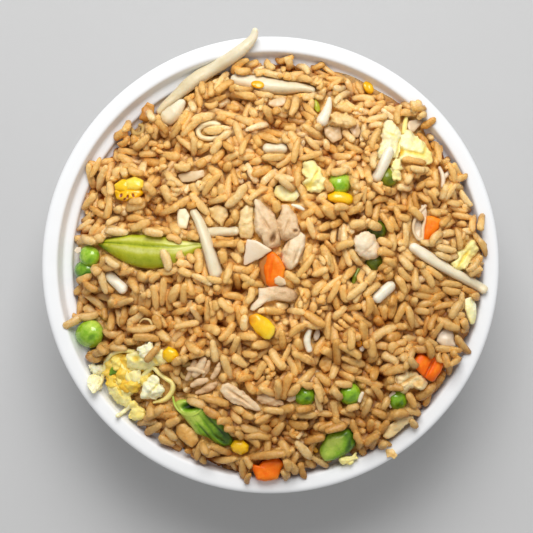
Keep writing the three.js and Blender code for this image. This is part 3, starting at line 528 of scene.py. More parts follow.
def lay_meat():
    """Chunks, shreds, strips and one slice of pale cooked meat."""
    meat = maker("meat", "meat", chunk, wave=0.55, pit=0.3, puff=0.2, fold=0.2, crumple=0.4, ragged=0.4,
        square=3, easing=0.05, detail=(54, 76))
    strip = maker("meat", "meat", chunk)
    # Where the meat's dents go down they are darkened with painted shade, in the hole of meat_01 and along
    # the creases.
    meat("meat_01", [(-5.2, 21.4), (-5.5, 17.5), (-4.9, 13.6), (-4, 9.5), (-2.6, 7), (-0.8, 5.4),
        (1.4, 5.2), (2.8, 6.6), (3.3, 9.4), (3, 12), (2, 14.6), (1, 17), (-1.2, 18.9), (-3.3, 20.4)], 6.2,
        51, lift=1.7, fibre=0.2, fibre_turn=-62, tilt=(-0.12, 0.05), tone=0.6, shade=(-0.03, 0.015),
        dents=[(0.8, 8.6, 1.6, 0.8, 70, 2, -0.6), (-1.4, 13, 3.2, 0.5, -60, 0.6, -0.15),
        (-3.4, 15.4, 2.4, 0.5, -70, 0.4, -0.1)])
    meat("meat_02", [(3.6, 18.9), (5.4, 19.3), (6.8, 16.6), (8.6, 14.7), (9.2, 12.2), (9.4, 9.8), (7, 8.4),
        (5, 7.6), (3.2, 8.4), (2.6, 11), (2, 14.2), (3.4, 16.4)], 6.2, 52, lift=1.8, fibre=0.15,
        fibre_turn=-75, tone=0.55, shade=(0.02, 0.02), dents=[(8, 10.9, 0.7, 0.5, 0, 1.2, -0.5),
        (5.4, 12.6, 2.4, 0.4, 70, 0.5, -0.12)])
    meat("meat_03", [(9.7, 11), (7.4, 10.1), (5.4, 8), (4, 6.6), (3.3, 4), (3.7, 1.2), (5, -0.8),
        (6.9, -1.7), (8.8, 0.1), (9.8, 2.8), (10.9, 6), (10.9, 8.7)], 6.6, 53, lift=0.7, tone=0.76,
        shade=(0.03, 0.01), dents=[(5.2, 5.6, 3.4, 0.5, 75, 0.7, -0.2), (8.4, 3, 2.6, 0.5, 70, 0.5, -0.1)])
    meat("meat_04", [(27, 9.5), (26, 7), (27.2, 4.5), (28.8, 3), (31, 2), (33.4, 2.2), (34.6, 3.5),
        (34.2, 6.5), (33.3, 9), (31.5, 10.9), (29, 11)], 7, 54, lift=2, tone=0.9, shade=(-0.02, 0),
        dents=[(31.6, 5.2, 2.6, 0.4, 40, 0.3, -0.12)])
    meat("meat_05", [(-15.8, -38.6), (-16.1, -40.6), (-14.6, -42.6), (-11.6, -44.6), (-8.2, -46.4),
        (-4.2, -47.9), (-2.6, -47.2), (-4, -44.8), (-7.4, -41.9), (-11, -39.4), (-13.8, -37.9)], 3.4, 55,
        lift=3.2, tone=0.68, fibre=0.3, fibre_turn=-32, dents=[(-11.4, -41.6, 4, 0.3, -33, 0.6, -0.25),
        (-8, -44.2, 5, 0.3, -33, 0.4, -0.1)], square=4)
    shreds = [
        ([(-27.4, -37.6), (-25.6, -34.2), (-24.2, -30.6)], [0.6, 1.2, 0.7], 2.6, 0.52),
        ([(-24.8, -36.2), (-22.8, -33), (-21.4, -29.6)], [0.8, 1.5, 0.7], 3.2, 0.65),
        ([(-22.2, -36.6), (-20.6, -33.6), (-19.8, -30.6)], [0.7, 1.2, 0.6], 2.7, 0.4),
        ([(-25.8, -39.4), (-23.2, -37.8), (-19.8, -37)], [0.7, 1.3, 0.8], 2.8, 0.56),
        ([(-24.6, -41.6), (-21.2, -40.4), (-17.2, -38.2)], [0.6, 1.4, 0.8], 2.3, 0.4),
        ([(-19.2, -36.8), (-17.4, -34.2), (-16.2, -31.2)], [0.5, 1, 0.6], 2.2, 0.5),
        ([(-27, -33.4), (-24, -33.8), (-21, -34.8)], [0.5, 0.9, 0.6], 3.9, 0.6),
    ]
    for number, (route, radii, lift, tone) in enumerate(shreds):
        form = sweep(route, radii, lift=lift, flat=0.75, rings=56, sides=18, seed=560 + number, tone=tone,
            wave=0.3, fibre=0.25, puff=0.2)
        topping("meat_06", "meat", "meat", form, f"meat_06_shred_{number + 1}")
    meat("meat_07", [(-4.6, -41.6), (-5, -43.4), (-3, -45), (0.6, -45.8), (4.2, -45.6), (4.6, -44),
        (1.4, -42.6), (-2, -41.2)], 3.8, 58, lift=1.8, fibre=0.4, fibre_turn=-25, tone=0.45)
    strip("meat_08", [(-4.2, -7), (-4.4, -10.6), (-6, -13), (-6.2, -14.6), (-4.6, -14.2), (-1.6, -12.2),
        (1.8, -11.5), (5.4, -11.6), (8.4, -10.9), (8.9, -9.6), (6.2, -7.6), (4.6, -6.6), (0, -6.8)], 3, 59,
        lift=2.3, square=3, easing=0.04, wave=0.5, fibre=0.2, crumple=0.6, tone=0.66, shade=(-0.06, 0),
        detail=(48, 90))


def lay_peas():
    """Peas: ovals about as high as wide, lighter towards the upper right as painted light, each with a
    small dimple darkened by painted shade. Peas 8 to 10, which lie in shadow, take a darker copy of the
    skin, also painted shade.
    """
    peas = [
        (-59.4, 2.9, 0.95, 1.6, 0.6),
        (-61.1, -1.9, 0.92, 0.2, 0.2),
        (22.4, 26.6, 0.98, 1.2, 0.75),
        (-59.3, -22.6, 1.24, 1.6, 0.6),
        (11.2, -42.2, 0.93, 1.2, 0.4),
        (25.6, -41.8, 0.98, 1.3, 0.45),
        (41.3, -44, 0.88, 1.5, 0.38),
        (38.2, 28.6, 0.84, -0.4, 0.7),
        (34.4, 11.4, 0.84, -0.8, 0.3),
        (34, 0.8, 0.84, -0.6, 0.4),
    ]
    for number, (x, y, scale, lift, tone) in enumerate(peas, 1):
        size = 7.6 * scale
        form = chunk(oval(x, y, size, size * 1.03, 30 * number), size * 0.96, 60 + number, lift=lift,
            square=2, wave=0.2, tone=tone, shade=(0.02, 0.03), dents=[(x + 0.9, y - 1.1, 1.5, 0.9, 40, 0.1,
            -0.3)])
        topping(f"pea_{number:02d}", "pea", "pea_shaded" if number in (8, 9, 10) else "pea", form)


def lay_corn():
    """Sweetcorn kernels, and the chunk of two kernels on their root."""
    kernel = maker("corn", "corn", chunk, square=2.5, wave=0.2)
    root = maker("corn", "corn", chunk)
    kernel("corn_01", [(18.2, 22.4), (18.4, 20.8), (21, 20), (25.2, 19.4), (27, 20.4), (26.4, 22.4),
        (23.4, 23.6), (20, 23.8)], 5.4, 81, lift=1.6, shade=(0.03, 0))
    # corn_02: its dent is darkened a little with painted shade.
    kernel("corn_02", [(-6.9, -16.2), (-6.8, -18.6), (-4.6, -21.8), (-2.2, -23.8), (-0.2, -24.2),
        (1.4, -22.2), (1.8, -20), (-1, -17.2), (-4.4, -15.4)], 5.4, 82, lift=1.8, shade=(0.06, -0.03),
        fold=0.5, fibre_turn=40, dents=[(-5.8, -18, 1.6, 1.2, 60, 0.4, -0.1)])
    kernel("corn_03", [(-35, -28), (-35, -30), (-33.4, -31.6), (-31, -31.4), (-29.6, -29.4), (-30.4, -27.4),
        (-33, -26.2)], 5.4, 83, lift=2.8)
    kernel("corn_04", [(-13.2, -58.8), (-12.4, -60.8), (-9.6, -62), (-7.2, -60.8), (-6.8, -58.6),
        (-9, -56.8), (-11.8, -57)], 5.6, 84, lift=3, tone=0.42)
    kernel("corn_05", [(-51.2, 26.2), (-50.6, 24.2), (-47, 23.6), (-45.6, 25.4), (-46, 27.8), (-48.4, 28)],
        5.4, 85, lift=2.4, tone=0.55, name="corn_05_left")
    kernel("corn_05", [(-47.6, 27.4), (-46.8, 24.4), (-43.4, 24), (-41, 25), (-41.2, 27.6), (-44.2, 29)],
        5.4, 86, lift=2.5, tone=0.85)
    # The root's pits are darkened with painted shade.
    root("corn_05", [(-51, 24.6), (-50.2, 21.6), (-46.6, 20.7), (-42.4, 21.6), (-41, 23.4), (-41.6, 24.8)],
        4.8, 87, lift=1.9, tone=0.4, fold=0.9, fibre_turn=70, pit=0.8, wave=0.3,
        dents=[(-48.6, 22.6, 0.7, 0.4, 70, 0.6, -0.9), (-46.4, 22.2, 0.6, 0.35, 80, 0.6, -0.9),
        (-44.6, 22.6, 0.7, 0.35, 110, 0.6, -0.9), (-47.4, 21.4, 0.5, 0.3, 40, 0.4, -0.8)],
        name="corn_05_root")


def lay_carrots():
    """Carrot dice, one of them with a darker cut side."""
    dice = maker("carrot", "carrot", chunk, square=4, easing=0.05, wave=0.25, crumple=0.2, detail=(56, 72))
    dice("carrot_01", [(50.6, 15.6), (50.4, 13.4), (49.8, 10.6), (49, 7.8), (50.6, 7.4), (52.4, 9),
        (54.8, 12), (55.4, 14.8), (53.2, 16)], 5, 91, lift=1.5, tilt=(0, 0.1), tone=0.75, shade=(0, 0.04))
    # carrot_02: the darkened crease across its top is painted shade.
    dice("carrot_02", [(-1.6, 3.4), (-2.4, 0), (-2.2, -3.4), (-1.5, -6.4), (0, -7.4), (2.8, -6.8),
        (4.4, -4.2), (4.9, -1), (3.2, 2.2), (1.2, 4.3), (-0.4, 4.6)], 6, 92, lift=1, tilt=(0.2, 0),
        tone=0.68, shade=(0.05, 0), dents=[(0, -2, 4, 0.4, 80, 0.4, -0.2)])
    dice("carrot_02", [(-3.8, 1.6), (-4, -1), (-3.4, -3.8), (-1.9, -6.7), (-0.6, -7.2), (-1.2, -3), (-1, 1),
        (-0.6, 4), (-2, 3.4)], 5, 95, lift=0.4, tilt=(0.35, 0), tone=-0.1, name="carrot_02_side")
    # carrot_03: the darkened crease is painted shade and the two pale patches are painted highlights.
    dice("carrot_03", [(45.6, -31.8), (47.4, -34.2), (50, -36.4), (52.8, -37.9), (55.6, -34.6),
        (56.9, -31.4), (54, -29.2), (50.6, -29.6), (48.4, -28.3)], 6.5, 93, lift=1.6, tilt=(-0.08, -0.12),
        tone=0.45, fold=0.5, fibre_turn=30, dents=[(51.6, -33.4, 5.6, 0.45, 62, 1.2, -0.3),
        (49.4, -31.8, 2.4, 1.1, 30, 0, 0.3), (54, -33.4, 2.2, 0.9, 60, 0, 0.35)])
    dice("carrot_04", [(-6.8, -64.4), (-5.9, -67), (-4.6, -70.2), (-2, -70.6), (2.4, -69.8), (3.6, -66.8),
        (4.7, -64.4), (2, -62.4), (-2.6, -64), (-4, -65.4)], 6, 94, lift=3, tilt=(0, -0.15), tone=0.62,
        shade=(0.02, -0.04))


def lay_egg():
    """Scrambled egg: folded curds, strands, and two browned curds."""
    browned = maker("curd", "curd", chunk)

    def curd(node, outline, height, seed, lift=1.6, **more):
        """A folded curd. The last figure of the seed numbers the second and later ones of a node."""
        settings = {"wave": 0.5, "puff": 0.6, "pit": 0.6, "crumple": 0.8, "ragged": 0.8, "fold": 0.3,
                    "fibre_turn": 37 * seed, "detail": (52, 80)} | more
        name = node if seed % 10 == 0 else f"{node}_{seed % 10}"
        topping(node, "egg", "egg", chunk(outline, height, seed, lift=lift, **settings), name)

    def strand(node, name, route, radii, seed, **more):
        """A thin strand of egg."""
        form = sweep(route, radii, seed=seed, **({"sides": 18, "wave": 0.2} | more))
        topping(node, "egg", "egg", form, name)

    # Where a curd's dent goes down it is darkened with painted shade in the fold.
    curd("egg_01", [(38.1, 47.4), (36.6, 44), (35.6, 41), (35.2, 37.6), (35, 34.4), (38.2, 34.2),
        (41, 35.8), (42.2, 38.4), (42.6, 42.4), (41, 45.2)], 4.8, 310, 1.9, tone=0.9, pit=0.3, puff=0.4,
        dents=[(39.2, 42.4, 1.6, 0.4, -20, 0.5, -0.3), (41.6, 38.4, 2.6, 0.5, 80, 0.8, -0.3)])
    curd("egg_01", [(43, 43.4), (45, 43.6), (48, 42), (50.6, 39.2), (52.4, 36.6), (52.6, 34), (51.6, 32),
        (48, 32.4), (44.6, 33), (42.2, 34.4), (41.8, 36.6), (42.4, 39.2)], 5.2, 311, 1.9, tone=0.82,
        shade=(-0.02, 0), pit=0.3, puff=0.4, dents=[(42.2, 36.6, 1.5, 1.1, 60, 2.2, -0.7),
        (46.6, 36.4, 3.4, 0.5, -12, 0.9, -0.3), (50.2, 37, 2, 0.5, 70, 0.4, -0.25)])
    curd("egg_01", [(40.4, 35.4), (39.4, 32), (39, 29), (40, 27.4), (42.2, 28), (41.6, 30.4), (42.5, 32),
        (42.2, 34.8)], 3, 312, 1.6, tone=0.8)
    strand("egg_01", "egg_01_stem", [(43.6, 42.4, 1.8), (43.9, 45.6, 2), (44.7, 49.2, 1.6)], [1, 0.8, 0.6],
        313, tone=0.65, rings=30)
    curd("egg_02", [(66, 8.6), (62.6, 5), (60.8, 5.2), (60.4, 2.6), (58.6, 0.4), (60.2, -1.8), (62.4, -2.6),
        (64.4, -1), (66.6, 2), (67, 5.4)], 5, 320, 2.4, tone=0.72, tilt=(0.15, 0),
        dents=[(62.6, 2, 3.6, 0.5, 55, 0.6, -0.3)])
    curd("egg_03", [(11.2, 32.8), (10.6, 29.4), (10.4, 26.4), (12, 24), (15, 23.2), (17.6, 24.4),
        (18.2, 27), (16.6, 28.6), (15.4, 31), (13.6, 33)], 4.4, 330, 1.6, tone=0.78, puff=0.4,
        dents=[(12.2, 25.4, 2.2, 1.2, 40, 0.5, -0.35), (14.6, 29, 2.4, 0.5, 60, 0.7, -0.2)])
    curd("egg_05", [(-42.8, -26.6), (-43, -28.6), (-41, -29.9), (-38.4, -29.8), (-37.6, -27.6),
        (-38.2, -25.2), (-40.8, -24.9)], 5.4, 350, 4.2, tone=0.97, square=3.2)
    curd("egg_04", [(-45.8, -28.4), (-47.2, -30.2), (-46.6, -33), (-44, -34.2), (-41.2, -33.6),
        (-38.2, -32.2), (-35.2, -32.9), (-33.8, -31.4), (-34.4, -29), (-36.2, -27.4), (-38.4, -29.2),
        (-41.4, -29.6), (-43.4, -28.2)], 4.6, 340, 2.6, tone=0.78,
        dents=[(-43.8, -30.4, 1.4, 1, 20, 0.9, -0.5), (-37.2, -31, 1.6, 0.6, -60, 0.9, -0.35)])
    curd("egg_04", [(-53.6, -30.6), (-51.2, -28.6), (-47, -28.6), (-43.8, -31), (-39.6, -33), (-38.4, -36),
        (-40, -38.8), (-43.6, -41.6), (-47, -41), (-50.8, -41.8), (-53.6, -38.4), (-54.2, -34)], 3.6, 341,
        1.7, tone=0.36, fold=1.2, fibre_turn=-40, puff=0.9, crumple=1.2,
        dents=[(-51, -35.2, 1.6, 1.6, 0, 1.2, -0.2), (-42, -35.6, 2, 1, 30, 1.6, -0.4),
        (-46, -38.6, 1.8, 1.2, 50, 0.8, -0.35)])
    rng = np.random.default_rng(344)
    for number in range(12):
        x, y = (rng.uniform(-52.6, -40.5), rng.uniform(-40.5, -30.8))
        size = rng.uniform(2.2, 4.4)
        form = chunk(oval(x, y, size, size * rng.uniform(1.2, 1.9), rng.uniform(0, 180)), 1.4,
            3440 + number, lift=3.3, tone=rng.uniform(0.15, 0.8), wave=0.3, puff=0.4, crumple=0.9,
            ragged=0.7, detail=(24, 40))
        topping("egg_04", "egg", "egg", form, f"egg_04_shred_{number + 1}")
    strand("egg_04", "egg_04_fold", [(-49.4, -31.6, 3), (-47.8, -34, 3.4), (-46.4, -37, 3.4),
        (-44.4, -39, 3), (-40.8, -38.8, 2.6)], [0.5, 0.7, 0.8, 0.7, 0.5], 342, tone=0.7, flat=0.8)
    strand("egg_04", "egg_04_wisp", [(-46, -34.4, 2.6), (-44.2, -33.2, 2.8), (-42.8, -31.6, 2.8)],
        [0.5, 0.7, 0.5], 343, tone=0.75)
    curd("egg_06", [(-41, -37.4), (-41.8, -40.4), (-42, -43.2), (-39.4, -43.8), (-36.4, -44), (-34, -42.4),
        (-34.2, -39.6), (-36.4, -37.4), (-38.6, -36)], 6, 360, 2.3, tone=0.95, square=3.4,
        dents=[(-37.8, -40.2, 2.6, 0.4, 50, 0.5, -0.15), (-38.2, -38.6, 1.8, 0.4, -20, 0.4, -0.1)])
    curd("egg_07", [(-53, -38), (-50.6, -36.6), (-48, -36.8), (-46, -39.4), (-45.2, -42), (-45.8, -44.4),
        (-47.8, -46.4), (-50.6, -46), (-52.4, -43.4), (-53.4, -40.6)], 5, 370, 1.9, tone=0.72,
        dents=[(-49.4, -40.6, 2.6, 0.5, -70, 0.7, -0.3), (-51.4, -38.6, 1.6, 1, 0, 0.3, -0.4)])
    curd("egg_07", [(-46.6, -45.4), (-44.6, -44.4), (-42.4, -46.4), (-40.4, -48.6), (-42.4, -50),
        (-44.8, -51.4), (-46.8, -49.6), (-46.2, -47.4)], 3.4, 371, 1.9, tone=0.62)
    strand("egg_07", "egg_07_wisp", [(-50.2, -49.4, 1.8), (-48, -48, 2), (-45.2, -45.2, 2.4)],
        [0.5, 0.7, 0.6], 372, tone=0.9)
    curd("egg_08", [(-59.8, -32.8), (-59.6, -35), (-57.4, -36.4), (-55, -35.6), (-54.2, -33), (-55, -31.4),
        (-57.6, -31)], 4.2, 380, 2.8, tone=0.95)
    curd("egg_08", [(-59.9, -37), (-59.6, -39.8), (-58, -41.4), (-56, -40.6), (-54.8, -38.4),
        (-55.2, -35.8), (-57.6, -35.8)], 4.2, 381, 2.2, tone=0.95)
    curd("egg_09", [(22.5, -64.3), (24.3, -62.5), (27.3, -61.5), (29.3, -62.9), (27.3, -64.7),
        (24.3, -65.2)], 3.4, 390, 1.8, tone=0.7)
    strand("egg_ribbon", None, [(-42.7, -38, 2), (-40.6, -35.2, 2.4), (-38.2, -33.4, 2.6),
        (-36.2, -35.2, 2.7), (-33.8, -37, 2.7), (-31.9, -38.4, 2.6), (-32, -41, 2.5), (-34.4, -43.8, 2.4),
        (-38.4, -45, 2.2)], [0.6, 0.8, 0.7, 0.7, 0.8, 0.9, 0.9, 0.8, 0.5], 112, flat=1.4, lift=2.4,
        rings=120, tone=0.8, tone_end=0.6, wave=0.15)
    strand("egg_strand", None, [(-44, -28.2), (-48.4, -27.9), (-51.6, -29), (-53.7, -31.4), (-54.6, -34.6),
        (-55.4, -38), (-56.8, -40.8)], [0.6, 0.7, 0.8, 0.8, 0.8, 0.7, 0.5], 111, lift=2.8, flat=1.5,
        rings=110, tone=0.72, tone_end=0.9, wave=0.12)
    browned("curd_01", [(19.4, 49), (19, 46.6), (21.6, 45), (25.6, 44.2), (28.4, 45.4), (27.6, 47.6),
        (25, 49.4), (21.6, 49.9)], 5, 113, lift=2.2, wave=0.5, puff=0.6, pit=0.5, crumple=0.6, ragged=0.6,
        tone=0.8)
    browned("curd_02", [(41, -36), (40.6, -39), (43.4, -41.2), (46.6, -39.8), (48.8, -40.4), (50.7, -38.4),
        (49.6, -36), (47.4, -34.4), (44, -34.2)], 5.6, 114, lift=2, wave=0.6, puff=0.9, pit=0.8,
        crumple=0.9, ragged=0.5, tone=1, detail=(52, 80), dents=[(48.2, -38.4, 2, 1.2, 20, 0, -0.35),
        (44, -37.6, 3.4, 0.5, 30, 0.8, -0.3)])


FLAKE_SLOTS = {"pea": "onion", "husk": "onion", "sauce": "curd", "green": "pod"}


def lay_flakes():
    """The small pieces that lie loose on the rice: husks, shreds, skins and crumbs. A name's first word
    gives its slot."""

    def flake(name, finish, form):
        """Notes a flake, which stands for the rice solid."""
        word = name.split("_")[0]
        topping("rice_heap", FLAKE_SLOTS.get(word, word), finish, form, name)

    flakes = [
        ("onion_leaf_1", "onion", [(44.7, 45.7), (45.5, 47.2), (49.4, 48), (50.1, 46.7), (48, 44.5),
            (47, 43.3), (45.3, 43.7)], 1.6, 0.75),
        ("onion_leaf_2", "onion", [(17.4, 45), (22.6, 45.2), (23.4, 41.2), (20.2, 39.8), (18, 42)], 1.4,
            0.35),
        ("onion_leaf_3", "onion", oval(2.3, 52.9, 2.6, 6.3, -80), 1.2, 0.5),
        ("onion_leaf_4", "onion", [(-41, -44.4), (-37.7, -44.6), (-37.1, -47.1), (-39.5, -48),
            (-41, -46.8)], 1.3, 0.35),
        ("onion_leaf_5", "husk", [(-30.2, 18), (-27.4, 18.4), (-26, 16), (-27, 11.4), (-30.2, 11.8)], 2,
            0.95),
        ("onion_leaf_6", "onion", [(54.2, -25), (54.8, -22), (57.4, -20.6), (59.6, -22.2), (59.8, -24.8),
            (61, -26.4), (57, -27.4)], 2, 0.95),
        ("onion_leaf_7", "onion", [(25.8, 44), (26, 46.6), (28.6, 46), (29.6, 43.6), (28.6, 41.4),
            (27, 41.6)], 1.2, 0.3),
        ("onion_leaf_8", "onion", [(46.2, 13.6), (47.6, 15.4), (49.2, 13.6), (49.4, 10.4), (49.6, 7.6),
            (48, 8), (46.6, 10.4)], 1.4, 0.8),
        ("onion_bit_1", "onion", oval(14.9, -22.8, 2.2, 4.3, -12), 1.4, 1),
        ("onion_bit_2", "onion", oval(29.4, -27, 1.9, 2.2, 0), 1.4, 1),
        ("pea_skin_1", "onion", [(-64.5, 4.6), (-63.6, 6), (-61.9, 5.8), (-62, 4.2), (-63.4, 3.5)], 0.9,
            0.9),
        ("pea_skin_2", "onion", [(5.1, -43.8), (6, -42), (8.2, -41.8), (8, -43.4), (6.4, -44.4)], 0.9, 0.7),
        ("curd_bit_1", "curd", [(-20.2, 18.6), (-17.1, 19.4), (-14.1, 18.2), (-13.7, 15.6), (-14.9, 13.8),
            (-15.6, 12.4), (-16.6, 13.4), (-19.4, 15.3)], 2.6, 0.8),
        ("curd_bit_2", "curd", [(16.2, -30), (18.6, -29), (20.2, -31), (19.6, -34.4), (17.4, -35),
            (15.8, -32.6)], 2.4, 0.5),
        ("curd_bit_3", "curd", [(47.8, 43.2), (49.2, 43.4), (51.6, 40.6), (53, 37.6), (51.8, 36.8),
            (49.8, 38.6)], 2, 0.25),
        ("curd_bit_4", "curd", [(-43, 48), (-42.6, 51.6), (-40.6, 53.6), (-38.4, 52.4), (-38.2, 49),
            (-40, 47)], 2.6, 0.15),
        ("egg_bit_1", "egg", [(1.8, 25.6), (5, 26.2), (8.4, 25), (9.6, 22.4), (7.6, 20.4), (3.6, 20.6),
            (1, 22.6)], 2.2, 0.8),
        ("egg_bit_2", "egg", [(62.8, -11), (65.4, -10.4), (67.2, -13), (67.4, -16), (66.8, -19.4),
            (65.2, -19.6), (64, -17), (63, -14)], 2.4, 0.85),
        ("corn_bit_1", "corn", oval(-4.2, 58.9, 2.4, 4.2, 80), 2, 0.3),
        ("corn_bit_2", "corn", oval(32.2, 58.5, 3, 4.6, 30), 2.2, 0.35),
        ("corn_bit_3", "corn", oval(28.4, -25.2, 2.6, 3.2, 30), 2.2, 0.1),
        ("green_bit_1", "pod", oval(15, 52, 2.4, 4.8, 20), 1.4, 0.5),
        ("green_bit_2", "pod_dark", [(-53, -35.6), (-51.8, -33.4), (-50.3, -33.7), (-49.8, -35.3),
            (-51.2, -35.6), (-52.5, -36.1)], 1, 0.4),
        ("sauce_spot", "curd", [(37.6, -60.2), (39.8, -60.2), (41.4, -62.2), (40.6, -63.6), (39.4, -62.8),
            (38.2, -63)], 0.5, 0.7),
        ("curd_bit_5", "curd", [(-10, 8.6), (-10.4, 13), (-9.4, 17.6), (-7.2, 19.8), (-5.4, 18.4),
            (-5.8, 14.6), (-5.2, 11), (-6.4, 8)], 3, 0.9),
        ("curd_bit_6", "curd", [(36.6, -55.8), (38.4, -52.4), (42, -50), (46.2, -48.6), (47, -50.2),
            (43.6, -52.8), (40.4, -55.6), (38, -57)], 2.6, 0.95),
        ("onion_bit_3", "meat", [(1.2, -4.4), (2.6, -3.4), (4.6, -4.6), (5.2, -6.4), (3.2, -6.8),
            (1.4, -6)], 1.7, 0.62),
        ("onion_leaf_9", "curd", [(-30.6, -52.4), (-28, -51.6), (-24.4, -54.2), (-23.4, -57.6),
            (-25.6, -59.6), (-28.8, -57.4), (-30.8, -54.8)], 2.4, 0.5),
        ("corn_bit_4", "corn", oval(14.4, -60.2, 1.8, 3, 40), 1.4, 0.2),
    ]
    above = {"onion_bit_3": 3.9, "egg_bit_2": 2.8, "onion_leaf_6": 1.6, "corn_bit_3": 2.2,
        "corn_bit_1": 3.6, "green_bit_2": 3.4, "onion_leaf_4": 0.8, "pea_skin_1": 4.6, "pea_skin_2": 2.6,
        "sauce_spot": 0.1, "curd_bit_3": 0.4}
    for number, (name, finish, outline, height, tone) in enumerate(flakes):
        lift = above[name] if name in above else 1.2 + float(clumps(*np.mean(outline, axis=0)))
        torn = {"detail": (20, 32)}
        if finish == "curd":
            torn = {"ragged": 0.13, "puff": 0.4, "pit": 0.4, "detail": (36, 60)}
        flake(name, finish, chunk(outline, height, 400 + number, lift=lift, easing=0.06, wave=0.25,
                                  crumple=0.5, tone=tone, shade=(0.02, 0.02), **torn))
    threads = [
        ("onion_thread_1", "onion", [(55, 32.2), (56.2, 28.8), (56, 25)], [0.5, 0.8, 0.5], 3, 0.95),
        ("onion_thread_2", "onion", [(58.6, 31), (57.4, 29.4), (56.2, 28.2)], [0.4, 0.7, 0.6], 3, 0.95),
        ("onion_thread_3", "onion", [(29.2, 22.8), (28.2, 20.8), (27.6, 18.6)], [0.5, 0.8, 0.5], 2.6, 0.9),
        ("onion_thread_4", "onion", [(30, -41), (29.2, -42.6), (28.6, -44.6)], [0.5, 0.7, 0.6], 3.4, 0.95),
        ("pea_skin_3", "onion", [(40.4, -41.2), (38.8, -42.6), (38.4, -44.6), (39.2, -46.6)],
            [0.7, 0.5, 0.6, 0.3], 2.8, 0.9),
        ("husk_thread_1", "husk", [(-42.6, -18.8), (-41.2, -17.6), (-39.4, -17.8), (-38.4, -19.4),
            (-39.2, -20.6)], [0.3, 0.35, 0.35, 0.35, 0.25], 2.4, 0.4),
        ("husk_thread_2", "husk", [(-28.6, -32.6), (-26, -32), (-24.6, -34.2), (-25.6, -36.6),
            (-28.2, -36.4), (-29.2, -34.6)], [0.7, 0.9, 0.9, 0.8, 0.8, 0.5], 1.8, -0.2),
        ("husk_thread_3", "husk", [(-46, 45), (-44.4, 43), (-42, 43.4), (-41.8, 45.4), (-43.4, 46.2)],
            [0.5, 0.7, 0.7, 0.7, 0.4], 1.8, -0.1),
        ("onion_thread_5", "onion", [(50.6, 19.5), (47.4, 16), (46.2, 12), (47.4, 8.8), (49.2, 8.4),
            (49.4, 12), (50.6, 15.6)], [0.5, 0.7, 0.7, 0.6, 0.6, 0.6, 0.4], 2.4, 0.6),
        ("sprout_shred_1", "sprout", [(12.8, -20.4), (11.7, -24.2), (12.6, -28.2)], [0.8, 1.2, 0.9], 2.4,
            0.95),
        ("sprout_shred_2", "sprout", [(6.6, 19.4), (9.2, 18.6), (11, 17.6)], [0.3, 0.6, 0.4], 2.2, 0.9),
        ("green_thread", "pea_shaded", [(26.6, -6.8), (27.4, -3.6), (28.6, -0.8)], [0.6, 1.1, 0.6], 0.8, 0.6),
    ]
    for number, (name, finish, route, radii, lift, tone) in enumerate(threads):
        flake(name, finish, sweep(route, radii, lift=lift, seed=450 + number, rings=40, sides=12,
                                  tone=tone, wave=0.25))


for lay in (lay_sprouts, lay_pods, lay_onion, lay_meat, lay_peas, lay_corn, lay_carrots, lay_egg,
            lay_flakes):
    lay()

# ---- Rice: grains dropped one by one onto a height map -----------------------------------------------

# Lengths are in millimetres. A pair is a mean and its spread, or the least and the most.

MAP_STEP = 0.3
MAP_REACH = 79.0
MAP_SIZE = int(2 * MAP_REACH / MAP_STEP) + 1
BED_DEPTH = 5.2
RIM_GRAIN = 1.3
WEB_CELLS = 2
GRAIN_LENGTH, LENGTH_LIMITS = (7.3, 1.2), (4.2, 9.6)
GRAIN_WIDTH, WIDTH_LIMITS = (2.5, 0.28), (2.0, 3.1)
CRUMB_LENGTH, CRUMB_WIDTH = (2.2, 4.0), (1.4, 2.0)
GRAIN_FLATNESS = 0.84
STICKING = 0.46
END_POWER = 3.6
LARGEST, SHRINK = 1.04, 0.14
BROKEN_SHARE, BROKEN_LEFT = 0.14, (0.45, 0.75)

# How a grain is dropped: places tried, then small moves with their spread and turn, and how near to a
# gap or to the last grain it may start.

TRIES = 36
MOVES, MOVE, MOVE_TURN = 24, 0.4, 0.15
NEAR = 0.9
STEEPEST = math.radians(72)
STEEP_SHARE, STEEP_RANGE = 0.3, (22, 68)
BESIDE_SHARE, BESIDE_WIDTHS, BESIDE_TURN = 0.78, (0.58, 0.84), 0.14
STEEPEST_SINE = 0.95

# How places are compared: how far a grain may press into a topping over it, the costs, and limits.

SQUEEZE = 0.25
LEAN_COST, COVER_COST, BESIDE_COST = 0.4, 2.0, 0.8
MOST_OVER = 2.4
HIGHEST = CAD_BOX[1][2] / MM - 0.9

# How far out the rice goes: farthest round HIGH_SIDE, and less by LOW_RETREAT on the side opposite.

HIGH_SIDE = math.radians(-19)
LOW_START, LOW_FADE = math.radians(98), math.radians(22)
RICE_REACH, LOW_RETREAT, LOOSE_RETREAT = 67.1, 3.6, 1.8


def pixel(value):
    """Map column or row of a place in millimetres."""
    return np.clip(np.rint((value + MAP_REACH) / MAP_STEP).astype(np.int64), 0, MAP_SIZE - 1)


def map_places():
    """The x and the y of each map cell."""
    line = np.arange(MAP_SIZE) * MAP_STEP - MAP_REACH
    return np.meshgrid(line, line, indexing="ij")


def topping_maps():
    """The toppings' highest and lowest heights over each map cell, from their points, spread to the
    neighbouring cells so that no gap stays between points."""
    high = np.full((MAP_SIZE, MAP_SIZE), -np.inf)
    low = np.full((MAP_SIZE, MAP_SIZE), np.inf)
    for _, form, *_ in TOPPINGS:
        corners = form.points[form.quads]
        edges = [(corners[:, k] + corners[:, k + 1]) / 2 for k in (0, 1)]
        points = np.concatenate([form.points, corners.mean(axis=1), *edges])
        cells = pixel(points[:, 0]), pixel(points[:, 1])
        np.maximum.at(high, cells, points[:, 2])
        np.minimum.at(low, cells, points[:, 2])
    for axis in (0, 1):
        high = np.maximum.reduce([np.roll(high, shift, axis) for shift in (-1, 0, 1)])
        low = np.minimum.reduce([np.roll(low, shift, axis) for shift in (-1, 0, 1)])
    return high, low


